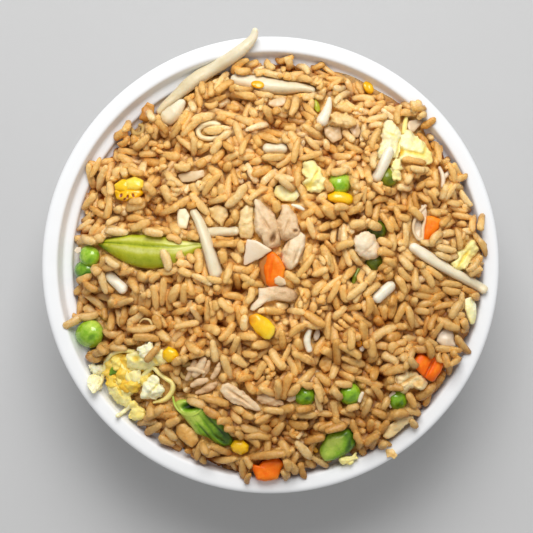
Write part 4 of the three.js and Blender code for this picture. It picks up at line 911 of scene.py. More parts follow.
def rice_reach(turn):
    """How far from the middle grains are dropped: to the step of the rim over most of the way round,
    and to the foot of the ledge on the low side."""
    away = np.abs(turn_from(turn, HIGH_SIDE))
    low = np.clip((away - LOW_START) / LOW_FADE, 0, 1)
    ragged = 0.9 * np.sin(turn * 7 + 1.3) + 0.6 * np.sin(turn * 17)
    return RICE_REACH - LOW_RETREAT * low * low * (3 - 2 * low) + ragged


def loose_reach(turn):
    """How far out the loose grains on top lie, clear of the rim."""
    return rice_reach(turn) - LOOSE_RETREAT


SHARES = np.array([-0.88, -0.7, -0.5, -0.25, 0.0, 0.25, 0.5, 0.7, 0.88])
OFFSETS = np.array([-0.5, 0.0, 0.5])
PROFILE = (1 - np.abs(SHARES) ** END_POWER) ** 0.5


def grain_scale(x, y):
    """Grains are a little smaller towards the upper right."""
    return LARGEST - SHRINK * np.clip((x + y - 20) / 50, 0, 1)


def half_seen(length, width, pitch):
    """Half the length of a leaning grain as seen from above."""
    return length / 2 * np.cos(pitch) + 0.4 * width * np.abs(np.sin(pitch))


class Bed:
    """The height map on which grains come to rest, and the grains laid so far."""

    def __init__(self, seed):
        self.rng = np.random.default_rng(seed)
        self.x, self.y = map_places()
        radius = np.hypot(self.x, self.y)
        self.mean = heap(self.x, self.y)
        self.level = np.maximum(self.mean, bowl_top(radius) + RIM_GRAIN)
        self.level += clumps(self.x, self.y)
        core = self.mean - BED_DEPTH + 0.6 * noise(on_plan(self.x, self.y), 6.0, 3)
        self.height = np.where(radius < SEAT[0], core, np.maximum(core, bowl_top(radius)))
        self.owner = np.full(self.height.shape, -1)
        self.ceiling = np.full(self.height.shape, np.inf)
        self.solid = np.zeros(self.height.shape, dtype=bool)
        self.grains = []

    def rest(self, x, y, angle, length, width, pitch=None):
        """Height and pitch at which each trial grain comes to rest. It may not sink into the map, apart
        from where soft grains stick, at any of its sampled places. A grain with no pitch of its own
        hangs on the highest line between a place before its middle and a place behind it, or lies on
        the place right below it. One with a pitch is held by its neighbours and keeps it."""
        half = half_seen(length, width, 0.0 if pitch is None else pitch)
        x, y, half, wide, cos, sin = (
            part[:, None, None] for part in (x, y, half, width, np.cos(angle), np.sin(angle)))
        run = SHARES[None, :, None] * half
        aside = OFFSETS * PROFILE[:, None] * wide / 2
        px = pixel(x + run * cos - aside * sin)
        py = pixel(y + run * sin + aside * cos)
        under = PROFILE[:, None] * np.sqrt(1 - OFFSETS**2) * wide / 2 * GRAIN_FLATNESS * STICKING
        support = (self.height[px, py] + under).max(axis=2)
        if pitch is not None:
            rise = np.sin(pitch) * length / 2
            centre = (support - rise[:, None] * SHARES).max(axis=1)
        else:
            back, front = SHARES < 0, SHARES > 0
            s_back, s_front = SHARES[back][None, :, None], SHARES[front][None, None, :]
            h_back, h_front = support[:, back][:, :, None], support[:, front][:, None, :]
            hang = ((h_back * s_front - h_front * s_back) / (s_front - s_back)).reshape(len(length), -1)
            slope = ((h_front - h_back) / (s_front - s_back)).reshape(len(length), -1)
            best, row = hang.argmax(axis=1), np.arange(len(length))
            middle = support[:, SHARES == 0][:, 0]
            centre = np.maximum(hang[row, best], middle)
            least = ((support[:, front] - middle[:, None]) / SHARES[front]).max(axis=1)
            most = ((support[:, back] - middle[:, None]) / SHARES[back]).min(axis=1)
            balanced = np.clip((least + most) / 2, least, np.maximum(least, most))
            rise = np.where(hang[row, best] >= middle, slope[row, best], balanced)
            pitch = np.arcsin(np.clip(rise / (length / 2), -STEEPEST_SINE, STEEPEST_SINE))
        top = centre[:, None, None] + rise[:, None, None] * SHARES[:, None] + under
        blocked = (top > np.minimum(self.ceiling[px, py] + SQUEEZE, HIGHEST)).any(axis=(1, 2))
        covers = self.solid[px, py].mean(axis=(1, 2))
        return centre, pitch, blocked, covers

    def best_of(self, x, y, angle, length, width, cover_limit, pitch=None, beside=None):
        """Which trial grain has the lowest score: how far it rests over the level, with a cost for
        leaning, for covering toppings and for a height unlike that of the grain beside it."""
        centre, pitch, blocked, covers = self.rest(x, y, angle, length, width, pitch)
        over = centre - self.level[pixel(x), pixel(y)]
        score = over + LEAN_COST * np.abs(pitch) + COVER_COST * covers
        if beside is not None:
            score = score + BESIDE_COST * np.abs(centre - beside)
        blocked = blocked | (over > MOST_OVER)
        score = np.where(blocked | (np.abs(pitch) > STEEPEST) | (covers > cover_limit), np.inf, score)
        pick = int(score.argmin())
        return pick, float(score[pick]), float(centre[pick]), float(pitch[pick])

    def new_size(self, crumb=False):
        """The length and width of a grain, with a share of broken ones, or of a crumb of one."""
        rng = self.rng
        if crumb:
            return rng.uniform(*CRUMB_LENGTH), rng.uniform(*CRUMB_WIDTH)
        length = float(np.clip(rng.normal(*GRAIN_LENGTH), *LENGTH_LIMITS))
        if rng.random() < BROKEN_SHARE:
            length *= rng.uniform(*BROKEN_LEFT)
        return length, float(np.clip(rng.normal(*GRAIN_WIDTH), *WIDTH_LIMITS))

    def drop(self, reach, cover_limit, tries=TRIES, crumb=False, near=None):
        """Tries a grain at many places and turns, or close beside the last one and nearly along it,
        settles it at the lowest of them by small moves, and returns it with its score."""
        rng = self.rng
        length, width = self.new_size(crumb)
        steep = rng.random() < STEEP_SHARE
        beside = None
        if near is not None:
            x = near[0] + rng.normal(0, NEAR, tries)
            y = near[1] + rng.normal(0, NEAR, tries)
            angle = rng.uniform(0, TAU, tries)
        elif self.grains and rng.random() < BESIDE_SHARE:
            x0, y0, beside, angle0, *_ = self.grains[-1]
            along = rng.uniform(-0.5, 0.5, tries) * length
            aside = rng.choice([-1, 1], tries) * rng.uniform(*BESIDE_WIDTHS, tries) * width
            x = x0 + along * math.cos(angle0) - aside * math.sin(angle0)
            y = y0 + along * math.sin(angle0) + aside * math.cos(angle0)
            angle = angle0 + rng.normal(0, BESIDE_TURN, tries)
            inside = np.hypot(x, y) < reach(np.arctan2(y, x))
            x, y = np.where(inside, x, x0), np.where(inside, y, y0)
        else:
            angle = rng.uniform(0, TAU, tries)
            turn = rng.uniform(0, TAU, tries)
            radius = np.sqrt(rng.random(tries)) * reach(turn)
            x, y = radius * np.cos(turn), radius * np.sin(turn)
        pitch = np.radians(rng.uniform(*STEEP_RANGE, tries)) if steep else None
        lengths, widths = length * grain_scale(x, y), width * grain_scale(x, y)
        pick, score, centre, lean = self.best_of(x, y, angle, lengths, widths, cover_limit, pitch, beside)
        if not math.isfinite(score):
            return None, score
        x0, y0, angle0 = x[pick], y[pick], angle[pick]
        length, width = lengths[pick], widths[pick]
        x = x0 + rng.normal(0, MOVE, MOVES)
        y = y0 + rng.normal(0, MOVE, MOVES)
        angle = angle0 + rng.normal(0, MOVE_TURN, MOVES)
        x[0], y[0], angle[0] = x0, y0, angle0
        one = np.ones(MOVES)
        pitch = lean * one if steep or abs(lean) > 0.5 else None
        pick, score, centre, lean = self.best_of(
            x, y, angle, length * one, width * one, cover_limit, pitch, beside)
        if not math.isfinite(score):
            return None, score
        return (x[pick], y[pick], centre, angle[pick], lean, length, width), score

    def put(self, grain):
        """Adds a grain and raises the map to its upper side."""
        x, y, centre, angle, pitch, length, width = grain
        half = float(half_seen(length, width, pitch))
        rise = length / 2 * math.sin(pitch)
        far = half + 1.5
        rows, columns = (slice(int(pixel(place - far)), int(pixel(place + far)) + 1) for place in (x, y))
        along, aside = turned(self.x[rows, columns] - x, self.y[rows, columns] - y, angle)
        share = along / half
        inside = 1 - np.minimum(np.abs(share), 1) ** END_POWER - (aside / (width / 2)) ** 2
        top = centre + rise * share + np.sqrt(np.maximum(inside, 0)) * width / 2 * GRAIN_FLATNESS
        raised = (inside > 0) & (top > self.height[rows, columns])
        self.height[rows, columns][raised] = top[raised]
        self.owner[rows, columns][raised] = len(self.grains)
        self.grains.append(grain)

    def fill(self, reach, level, cover_limit, most, patience=60):
        """Drops grains until the lowest place left for one is over `level` a number of times."""
        misses = 0
        for _ in range(most):
            grain, score = self.drop(reach, cover_limit)
            if grain is None or score > level:
                misses += 1
                if misses > patience:
                    break
                continue
            misses = 0
            self.put(grain)

    def scatter(self, reach, count, cover_limit, tries=4, crumb=False):
        """Lays loose grains across the others, each the lowest of only a few tries, or crumbs."""
        for _ in range(count):
            grain, score = self.drop(reach, cover_limit, tries, crumb)
            if grain is not None and score < MOST_OVER:
                self.put(grain)

    def stop_gaps(self, reach, deep, cover_limit, most):
        """Drops a grain at each place that lies `deep` below the level, the lowest first. A place that
        has been tried counts as higher, so that each gets its turn."""
        gap = np.where(np.hypot(self.x, self.y) < reach(np.arctan2(self.y, self.x)), 0.0, np.inf)
        gap[self.solid] = np.inf
        for _ in range(most):
            low = self.height - self.level + gap
            at = np.unravel_index(low.argmin(), low.shape)
            if low[at] > -deep:
                break
            grain, _ = self.drop(reach, cover_limit, near=(self.x[at], self.y[at]))
            around = tuple(slice(max(part - 2, 0), part + 3) for part in at)
            gap[around] += 0.8
            if grain is not None:
                self.put(grain)

    def lay(self, x0, y0, x1, y1, width):
        """Lays a grain from one given end to the other, wherever it comes to rest."""
        length = float(np.hypot(x1 - x0, y1 - y0)) * 1.04
        x, y = (x0 + x1) / 2, (y0 + y1) / 2
        angle = math.atan2(y1 - y0, x1 - x0)
        one = np.ones(1)
        centre, pitch, _, _ = self.rest(x * one, y * one, angle * one, length * one, width * one)
        lean = float(np.clip(pitch[0], -0.7, 0.7))
        most = HIGHEST - width / 2 * GRAIN_FLATNESS - abs(math.sin(lean)) * length / 2
        self.put((x, y, min(float(centre[0]), most), angle, lean, length, width))


LAID_GRAINS = [
    (-34.6, 5, -32.4, -1.8, 3.1), (-29.6, 4.4, -28.4, 1.6, 2.6), (-30.2, 0.9, -24.8, -0.4, 2.6),
    (-29.8, -1.4, -25.2, -3.4, 2.6), (-26.8, 3.6, -24.4, 0.8, 2.4), (-62.6, 9.4, -56.4, 6.9, 2.7),
    (-53.6, 2.4, -49.2, -1, 2.5), (-58.4, -0.4, -55.2, -3.2, 3.1), (-63.8, -5.6, -58.2, -3.4, 2.6),
    (-61.4, -5.6, -56.4, -8.6, 2.6), (-40.6, 10.8, -34.4, 10, 2.6), (-33.4, 9.4, -28.6, 7.6, 2.4),
    (-20.6, -4.2, -15.2, -5.4, 2.4), (-15.6, -2.4, -12.8, -6.2, 2.4), (3.2, -4.2, 7.6, -7.4, 2.6),
    (4.4, -2.2, 9.4, -5.8, 2.7), (-4.6, -6.4, -9.6, -3.2, 2.6), (2.4, 28.2, 8.4, 23.6, 2.5),
    (19.4, 29.6, 25.4, 30.6, 2.5), (25.8, 28.4, 27.6, 24.6, 2.7), (17.4, 27.2, 19.8, 23.6, 2.6),
    (26.8, 19.4, 29.2, 23.2, 2.3), (20.2, 18.6, 25.4, 18.4, 2.5), (20.8, 5.2, 26.8, 7.6, 2.9),
    (34.2, 4.6, 40, 3.2, 2.9), (34.6, 8.4, 39.4, 6.2, 2.6), (31.2, 13.6, 36.2, 11.4, 2.9),
    (25.4, 12.6, 30.4, 13.6, 2.7), (22.8, -5.4, 28, 0.2, 2.6), (30.6, -6.4, 33.6, -2.2, 2.6),
    (34.4, -1.8, 37.8, 0.6, 1.9), (36.2, 2.2, 41, -0.8, 2.6), (28.4, -6.2, 29.8, -1.4, 2.3),
    (45, 18.6, 49.4, 14.6, 2.7), (51.4, 6.8, 55.6, 11.2, 2.7), (54.6, 12.4, 58.6, 15.8, 2.5),
    (51.6, 17.4, 55.2, 16.6, 2.4), (42.4, 34.4, 50.8, 33.2, 2.3), (45, 31.4, 50.4, 30.4, 2.5),
    (5.6, -42.4, 9.6, -38.2, 2.7), (9.4, -38, 14.2, -39.2, 2.6), (14.6, -38.4, 16.4, -44.2, 2.6),
    (8.2, -46.8, 13.6, -46, 2.6), (19.6, -39.4, 23.4, -43.8, 2.5), (20.6, -38.2, 26.4, -38.8, 2.6),
    (28.6, -45.6, 24.4, -46.8, 2.6), (37.6, -39.4, 43, -39.8, 2.6), (44.4, -41.6, 47.2, -46.4, 2.6),
    (36.4, -46.8, 38.4, -42.6, 2.5), (39.4, -48.4, 45, -48, 2.7), (-20.2, -45.9, -27.2, -43.6, 2.8),
    (-16.4, -49.2, -21.6, -46.2, 3), (-12.6, -50.6, -17.4, -50.2, 2.7), (-11.4, -53.2, -15, -52.6, 2.6),
    (-8.6, -56.4, -11.6, -53.4, 2.5), (-22.6, -57.2, -20.4, -62, 2.7), (-6.8, -62.4, 5.2, -60.8, 2.9),
    (4.8, -62.6, 6.2, -67.2, 2.7), (-8.4, -62.2, -6.2, -66, 2.5), (50.6, -24.6, 52.4, -30.4, 2.6),
    (44.2, -29.6, 47.6, -33.4, 2.6), (56.4, -28.6, 57.6, -33.4, 2.6), (58.4, -27.6, 62.2, -31.6, 2.4),
    (54.2, -28.6, 55.2, -32, 1.9), (62.2, -30.2, 57.8, -32.6, 2), (17.6, -53.6, 24.4, -51.8, 2.7),
    (10.8, -57.6, 17.6, -55.4, 2.6), (27.4, -54.4, 29.6, -58.4, 2.6), (30.4, -58.8, 35, -54.6, 2.5),
    (-31.2, 31.8, -25.8, 31.4, 2.6), (-40.6, 26.6, -37.2, 22.4, 2.7), (-46.6, 31.2, -41.4, 29.4, 2.7),
    (-52.6, 27.4, -52, 22.6, 2.6), (-46.4, 20.4, -40.8, 20.6, 2.6), (-36.4, -26.4, -40.4, -31.4, 2.5),
    (-31.6, -32.4, -28.4, -29.6, 2.6), (-46.6, -27.2, -52.4, -26.8, 2.4), (-58.4, -29.4, -52.8, -27.4, 2.5),
    (-53, -28.8, -56.4, -26, 2.4), (-39.6, -45.4, -38.6, -50, 2.6), (-2, 67.6, 1.2, 63.4, 2.5),
    (5.2, 68.6, 6.6, 63.6, 2.4), (8.4, 66.4, 13.4, 62.6, 2.2), (48, -53.6, 45.2, -49.8, 2.4),
    (-40.2, 50.6, -37.6, 46.4, 2.5), (-22.6, 60.4, -22, 55.6, 2.3),
]


def settle_rice():
    """Fills the bowl's top layer: first under and beside the toppings, which hang over the map as
    ceilings, then round them, with the toppings standing in the map, and last with grains laid
    across the edges of toppings, and loose ones and crumbs over the rest. Returns the grains, how many
    cells of each can be seen, the rice's mean height round each cell, and the core's height."""
    bed = Bed(7)
    high, low = topping_maps()
    bed.ceiling = low
    bed.fill(rice_reach, level=-1.2, cover_limit=1.0, most=6000)
    stands = np.isfinite(high)
    under = bed.height + 0.3
    bed.ceiling = np.full_like(low, np.inf)
    bed.solid = stands
    bed.owner[stands & (high >= bed.height)] = -2
    bed.height = np.where(stands, np.maximum(bed.height, high), bed.height)
    near = np.where(stands, high - bed.mean, 0)
    for axis in (0, 1):
        near = np.maximum.reduce([np.roll(near, shift, axis) for shift in range(-9, 10, 3)])
    bed.level = bed.level + np.clip(0.5 * near, 0, 1.6)
    bed.fill(rice_reach, level=0.4, cover_limit=0.2, most=8000, patience=90)
    bed.stop_gaps(rice_reach, deep=1.5, cover_limit=0.25, most=1600)
    for grain in LAID_GRAINS:
        bed.lay(*grain)
    bed.scatter(loose_reach, count=460, cover_limit=0.12)
    bed.scatter(loose_reach, count=150, cover_limit=0.15, tries=30, crumb=True)
    seen = np.bincount(bed.owner[bed.owner >= 0].ravel(), minlength=len(bed.grains))
    rice = np.where(bed.owner == -2, under, bed.height)
    beside = np.where(stands, np.maximum(rice, np.minimum(high - 1.0, under + 4.0)), rice)
    return np.array(bed.grains), seen, evened(rice, 8), closed_map(beside)


def evened(field, reach):
    """A map in which each cell has the mean of a square round it."""
    for axis in (0, 1):
        field = np.mean([np.roll(field, shift, axis) for shift in range(-reach, reach + 1)], axis=0)
    return field


def closed_map(field):
    """A map whose narrow furrows are filled to the height of what stands beside them, and evened out:
    the highest of each cell's surroundings, then the lowest, then the mean."""
    near = range(-WEB_CELLS, WEB_CELLS + 1)
    ways = [(dx, dy) for dx in near for dy in near if dx * dx + dy * dy <= WEB_CELLS**2 + 1]
    for kind in (np.maximum, np.minimum):
        field = kind.reduce([np.roll(field, way, (0, 1)) for way in ways])
    return evened(field, 1)


GRAINS, SEEN, RICE_TOP, WEB = settle_rice()

# ---- Making meshes -----------------------------------------------------------------------------------


def new_piece(name, form, slot, node, finish):
    """A mesh object of a form, with smooth faces and its named values at the points, riding on the one
    body and standing for a node."""
    quads, tris = form.quads, form.tris
    mesh = bpy.data.meshes.new(name)
    mesh.vertices.add(len(form.points))
    mesh.vertices.foreach_set("co", (form.points * MM).astype(np.float32).ravel())
    loops = np.concatenate([quads.ravel(), tris.ravel()]).astype(np.int32)
    totals = np.repeat([4, 3], [len(quads), len(tris)])
    starts = np.concatenate([[0], np.cumsum(totals)[:-1]]).astype(np.int32)
    mesh.loops.add(len(loops))
    mesh.loops.foreach_set("vertex_index", loops)
    mesh.polygons.add(len(totals))
    mesh.polygons.foreach_set("loop_start", starts)
    mesh.update(calc_edges=True)
    mesh.polygons.foreach_set("use_smooth", np.ones(len(totals), dtype=bool))
    for key, value in form.values.items():
        mesh.attributes.new(key, "FLOAT", "POINT").data.foreach_set("value", value.astype(np.float32))
    mesh.validate()
    piece = bpy.data.objects.new(name, mesh)
    bpy.context.scene.collection.objects.link(piece)
    mesh.materials.append(FINISHES[finish])
    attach(piece, BODY)
    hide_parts(node)


# ---- Finishes ----------------------------------------------------------------------------------------


def linear(red, green, blue):
    """A display colour of 0 to 255 as linear light: each part divided by 12.92 where it is dark, and
    else moved and raised to 2.4."""
    parts = [part / 255 for part in (red, green, blue)]
    return (*(part / 12.92 if part <= 0.04045 else ((part + 0.055) / 1.055) ** 2.4 for part in parts), 1.0)


class Value:
    """One socket's value, on which arithmetic adds Math nodes."""

    def __init__(self, finish, socket):
        self.finish, self.socket = finish, socket

    def maths(self, operation, *terms, clamp=False):
        """A Math node on two terms, each a value or a constant."""
        settings = {"operation": operation, "use_clamp": clamp}
        return self.finish.node("ShaderNodeMath", settings, dict(enumerate(terms)))

    def __add__(self, other):
        return self.maths("ADD", self, other)

    def __mul__(self, other):
        return self.maths("MULTIPLY", self, other)

    def __sub__(self, other):
        return self.maths("SUBTRACT", self, other)

    def __rsub__(self, other):
        return self.maths("SUBTRACT", other, self)

    __radd__ = __add__
    __rmul__ = __mul__

    def clamped(self):
        """The value held between 0 and 1."""
        return self.maths("ADD", self, 0.0, clamp=True)


class Finish:
    """A material being made, with one method that adds any node, and short ones for patterns."""

    def __init__(self, name, roughness=0.5, **shader):
        self.material = bpy.data.materials.new(name)
        self.material.use_nodes = True
        self.tree = self.material.node_tree
        self.tree.nodes.clear()
        self.shader = self.tree.nodes.new("ShaderNodeBsdfPrincipled")
        output = self.tree.nodes.new("ShaderNodeOutputMaterial")
        self.tree.links.new(self.shader.outputs["BSDF"], output.inputs["Surface"])
        self.feed(self.shader.inputs["Roughness"], roughness)
        for key, value in shader.items():
            self.feed(self.shader.inputs[key.replace("_", " ")], value)

    def feed(self, socket, value):
        """Links a value to a socket, or sets a constant straight on it."""
        if isinstance(value, Value):
            self.tree.links.new(value.socket, socket)
        else:
            socket.default_value = value

    def node(self, kind, settings=None, inputs=None, output=0):
        """Adds a node of a kind, sets its settings and then its inputs, and returns one output."""
        made = self.tree.nodes.new(kind)
        for key, value in (settings or {}).items():
            if key == "stops":
                stops = made.color_ramp.elements
                while len(stops) < len(value):
                    stops.new(0.5)
                for stop, (position, colour) in zip(stops, value):
                    stop.position, stop.color = position, colour
            else:
                setattr(made, key, value)
        for key, value in (inputs or {}).items():
            self.feed(made.inputs[key], value)
        return Value(self, made.outputs[output])

    def mottle(self, size, detail=3.0):
        """Noise from about 0 to 1 with features of a size in millimetres."""
        place = self.node("ShaderNodeTexCoord", output="Object")
        vector = self.node("ShaderNodeVectorMath", {"operation": "MULTIPLY"}, {0: place, 1: (1 / MM,) * 3})
        inputs = {"Vector": vector, "Scale": 1 / size, "Detail": detail}
        return self.node("ShaderNodeTexNoise", None, inputs)

    def value(self, name):
        """A named value of the mesh's points."""
        return self.node("ShaderNodeAttribute", {"attribute_name": name}, output="Fac")

    def ramp(self, factor, *shades):
        """A shade from a row of display colours with their positions."""
        stops = [(position, linear(*shade)) for position, shade in shades]
        return self.node("ShaderNodeValToRGB", {"stops": stops}, {0: factor})

    def mix(self, factor, one, other):
        """From one colour to another by a factor. A display colour is made linear first."""
        one, other = (side if isinstance(side, Value) else linear(*side) for side in (one, other))
        return self.node("ShaderNodeMix", {"data_type": "RGBA"}, {0: factor, 6: one, 7: other}, output=2)

    def colour(self, value):
        """Feeds the shader's colour."""
        self.feed(self.shader.inputs["Base Color"], value)

    def roughness(self, value):
        """Feeds the shader's roughness."""
        self.feed(self.shader.inputs["Roughness"], value)

    def bump(self, height, depth):
        """A bump of a depth in millimetres from a height of 0 to 1."""
        made = self.node("ShaderNodeBump", None, {"Height": height, "Distance": depth * MM})
        self.feed(self.shader.inputs["Normal"], made)


# The first colour is the rice's own golden in patches; the second and third are painted shade, the second
# towards the rim on the side away from the lamp, the third deep between and under the grains.
GOLDEN, LOW_SIDE_SHADE_COLOUR, FURROW_SHADE_COLOUR = (234, 180, 84), (112, 76, 44), (150, 78, 16)
GOLDEN_SHARE, LOW_SIDE_SHADE_SHARE, FURROW_SHADE_SHARE = 0.4, 0.27, 0.6


def rice_finish(name, *shades):
    """Cooked rice: a shade from each grain's own tone and fine speckles, more golden in patches, with
    painted shade that turns it browner towards the rim on the side away from the lamp and deep down between
    and under the grains, with a soft oily sheen."""
    finish = Finish(name, Specular_IOR_Level=0.36, Subsurface_Weight=0.9, Subsurface_Scale=0.0021,
                    Subsurface_Radius=(1.0, 0.75, 0.45))
    finish.shader.subsurface_method = "BURLEY"
    tone = finish.value("tone") + (finish.mottle(1.8) - 0.5) * 0.7 + (finish.mottle(0.7) - 0.5) * 0.7
    deep = (finish.value("deep") * FURROW_SHADE_SHARE).clamped()
    golden = ((finish.mottle(6.0) - 0.5) * 2.0).clamped() * GOLDEN_SHARE
    shade = finish.mix(golden, finish.ramp(tone, *shades), GOLDEN)
    # Painted shade: browner towards the rim on the side away from the lamp.
    shade = finish.mix(finish.value("soaked") * LOW_SIDE_SHADE_SHARE, shade, LOW_SIDE_SHADE_COLOUR)
    # Painted shade: dark brown deep down between the grains and on each grain's lower side.
    finish.colour(finish.mix(deep, shade, FURROW_SHADE_COLOUR))
    finish.roughness(0.24 + 0.24 * finish.mottle(1.2))
    finish.bump(finish.mottle(1.2, 4.0), 0.3)
    return finish.material


def food_finish(name, shades, patch, spread, gloss, grain=(0.8, 0.1), glow=None, depth=0.0008, **shader):
    """A food's skin or cut face: its tone, moved by patches and by finer speckles, picks a shade from a
    ramp, the gloss is uneven, and a fine relief lies over the form. `gloss` is the least roughness and
    its range, `grain` the relief's size and depth, and `glow` how much light enters and how far each
    of its colours goes, in parts of `depth` in metres."""
    if glow:
        shader |= {"Subsurface_Weight": glow[0], "Subsurface_Radius": glow[1], "Subsurface_Scale": depth}
    finish = Finish(name, **shader)
    tone = finish.value("tone") + (finish.mottle(patch) - 0.5) * spread
    tone = tone + (finish.mottle(patch * 0.3, 2.0) - 0.5) * (0.5 * spread)
    finish.colour(finish.ramp(tone, *shades))
    finish.roughness(gloss[0] + gloss[1] * finish.mottle(patch * 0.5))
    finish.bump(finish.mottle(grain[0], 4.0), grain[1])
    return finish.material


def plain_finish(name, roughness, size, one, other):
    """A plain surface that goes slowly from one shade to another."""
    finish = Finish(name, roughness)
    finish.colour(finish.mix(finish.mottle(size), one, other))
    return finish


def bowl_finish():
    """White moulded fibre with a very fine relief."""
    finish = plain_finish("bowl_fibre", 0.62, 9.0, (236, 237, 238), (243, 244, 245))
    finish.bump(finish.mottle(0.9, 5.0), 0.035)
    return finish.material


FINISHES = {
    "bowl": bowl_finish(),
    "rice": rice_finish(
        "rice_grain", (0.0, (202, 139, 58)), (0.3, (222, 169, 89)), (0.6, (233, 189, 115)),
        (0.85, (239, 205, 142)), (1.0, (245, 221, 173))),
    "sprout": food_finish(
        "sprout_stem",
        [(0.0, (170, 138, 96)), (0.3, (212, 192, 150)), (0.6, (231, 218, 184)), (1.0, (245, 238, 218))],
        3.5, 0.4, (0.22, 0.2), (1.6, 0.08), (0.7, (1.0, 0.85, 0.7)), 0.0011),
    "pea": food_finish(
        "pea_skin", [(0.0, (70, 116, 8)), (0.5, (136, 184, 26)), (1.0, (202, 226, 92))],
        3.0, 1.0, (0.12, 0.15), (1.6, 0.06), (0.2, (1.0, 1.0, 0.4)), Coat_Weight=0.4),
    # A darker copy of the pea skin for what lies in shadow: painted shade.
    "pea_shaded": food_finish(
        "pea_skin_shaded", [(0.0, (58, 70, 8)), (0.5, (108, 124, 18)), (1.0, (160, 164, 36))],
        3.0, 0.6, (0.2, 0.2)),
    "corn": food_finish(
        "corn_skin",
        [(0.0, (150, 70, 10)), (0.12, (226, 146, 8)), (0.35, (250, 190, 8)), (0.65, (255, 210, 24)),
         (1.0, (255, 230, 100))],
        3.0, 0.35, (0.15, 0.2), (1.5, 0.05), (0.25, (1.0, 0.6, 0.1)), Coat_Weight=0.3),
    "carrot": food_finish(
        "carrot_cut",
        [(0.0, (190, 120, 56)), (0.25, (234, 96, 0)), (0.6, (250, 116, 0)), (1.0, (255, 158, 40))],
        2.2, 0.6, (0.3, 0.25), (0.5, 0.12), (0.3, (1.0, 0.4, 0.08)), Specular_IOR_Level=0.3),
    "pod": food_finish(
        "pod_skin",
        [(0.0, (90, 110, 8)), (0.3, (156, 166, 16)), (0.6, (190, 192, 50)), (1.0, (230, 230, 146))],
        3.0, 0.4, (0.2, 0.2), (0.9, 0.1), (0.2, (1.0, 1.0, 0.4))),
    "pod_dark": food_finish(
        "pod_skin_dark",
        [(0.0, (24, 36, 4)), (0.3, (78, 118, 14)), (0.6, (130, 172, 30)), (1.0, (190, 208, 86))],
        3.0, 0.6, (0.2, 0.2), (0.9, 0.12), (0.2, (1.0, 1.0, 0.4))),
    "egg": food_finish(
        "egg_curd",
        [(0.0, (226, 160, 30)), (0.25, (246, 200, 60)), (0.5, (252, 224, 112)), (0.75, (254, 237, 158)),
         (1.0, (254, 247, 210))],
        2.6, 0.4, (0.28, 0.25), (0.6, 0.2), (0.35, (1.0, 0.8, 0.4))),
    "curd": food_finish(
        "browned_curd",
        [(0.0, (186, 120, 40)), (0.4, (222, 164, 78)), (0.7, (236, 194, 120)), (1.0, (246, 220, 164))],
        2.6, 0.6, (0.28, 0.25), (0.6, 0.2), (0.3, (1.0, 0.7, 0.35))),
    "meat": food_finish(
        "cooked_meat",
        [(0.0, (150, 108, 66)), (0.35, (212, 172, 124)), (0.65, (234, 202, 158)), (1.0, (246, 228, 196))],
        2.0, 0.6, (0.36, 0.25), (0.45, 0.2), (0.35, (1.0, 0.7, 0.45))),
    "onion": food_finish(
        "onion_slice", [(0.0, (208, 168, 116)), (0.5, (226, 198, 154)), (1.0, (238, 220, 194))],
        2.6, 0.4, (0.22, 0.2), (0.9, 0.08), (0.4, (1.0, 0.85, 0.7))),
    "husk": food_finish(
        "husk_skin", [(0.0, (196, 160, 90)), (0.5, (232, 206, 140)), (1.0, (250, 236, 196))],
        1.6, 0.6, (0.35, 0.2), (0.5, 0.08)),
}

# ---- Bowl --------------------------------------------------------------------------------------------


def offset_line(points, distance):
    """A line beside another, to its right by a distance, with mitred corners."""
    ways = unit(np.diff(points, axis=0))
    right = np.stack([ways[:, 1], -ways[:, 0]], 1)
    before, after = np.concatenate([right[:1], right]), np.concatenate([right, right[-1:]])
    mitre = unit(before + after)
    return points + mitre * distance / (mitre * before).sum(axis=1, keepdims=True)


def eased(points, reach, steps=5):
    """A line whose corners are replaced by short quadratic curves that begin `reach` before each."""
    line = [points[:1]]
    share = np.linspace(0, 1, steps)[:, None]
    for before, corner, after in zip(points[:-2], points[1:-1], points[2:]):
        gap_in, gap_out = np.linalg.norm(corner - before), np.linalg.norm(after - corner)
        start = corner + (before - corner) * min(reach / gap_in, 0.45)
        stop = corner + (after - corner) * min(reach / gap_out, 0.45)
        line.append((1 - share) ** 2 * start + 2 * share * (1 - share) * corner + share**2 * stop)
    line.append(points[-1:])
    return np.concatenate(line)


def make_bowl(sides=192):
    """The moulded bowl: its inner face, its rolled lip and its outer face beside the inner one, with
    eased corners, turned about the vertical."""
    foot = np.array([BASE_RADIUS + 0.55 * BASE_ROUNDING, WALL + 1.2 * BASE_ROUNDING])
    share = np.linspace(0, 1, 4)
    wall = np.stack([
        foot[0] + (WALL_TOP[0] - foot[0]) * (1 - (1 - share) ** WALL_BELLY),
        foot[1] + (WALL_TOP[1] - foot[1]) * share,
    ], 1)
    inner = np.concatenate([
        [[0.0, WALL], [BASE_RADIUS - BASE_ROUNDING, WALL], [BASE_RADIUS, WALL + 0.4 * BASE_ROUNDING]],
        wall,
        [SEAT, (LEDGE_INNER, LEDGE_HEIGHT), (LEDGE_OUTER, LEDGE_HEIGHT + LEDGE_RISE),
         (RIM_INNER, BOWL_HEIGHT), (RIM_RADIUS - LIP_WIDTH, BOWL_HEIGHT)],
    ])
    outer = offset_line(inner, WALL)[::-1]
    lip = np.array([[RIM_RADIUS, BOWL_HEIGHT - LIP_TOP], [RIM_RADIUS, BOWL_HEIGHT - LIP_HEIGHT]])
    line = eased(np.concatenate([inner, lip, outer]), CORNER_REACH)
    line[:, 0] = np.maximum(line[:, 0], 0)
    angle = TAU * np.arange(sides) / sides
    body = line[1:-1]
    ring = np.stack([
        body[:, :1] * np.cos(angle), body[:, :1] * np.sin(angle), np.repeat(body[:, 1:], sides, axis=1),
    ], -1)
    points = closed([0, 0, line[0, 1]], ring, [0, 0, line[-1, 1]])
    new_piece("bowl_shell", Form(points, len(body), sides), "bowl", "bowl", "bowl")


# ---- Rice pieces -------------------------------------------------------------------------------------

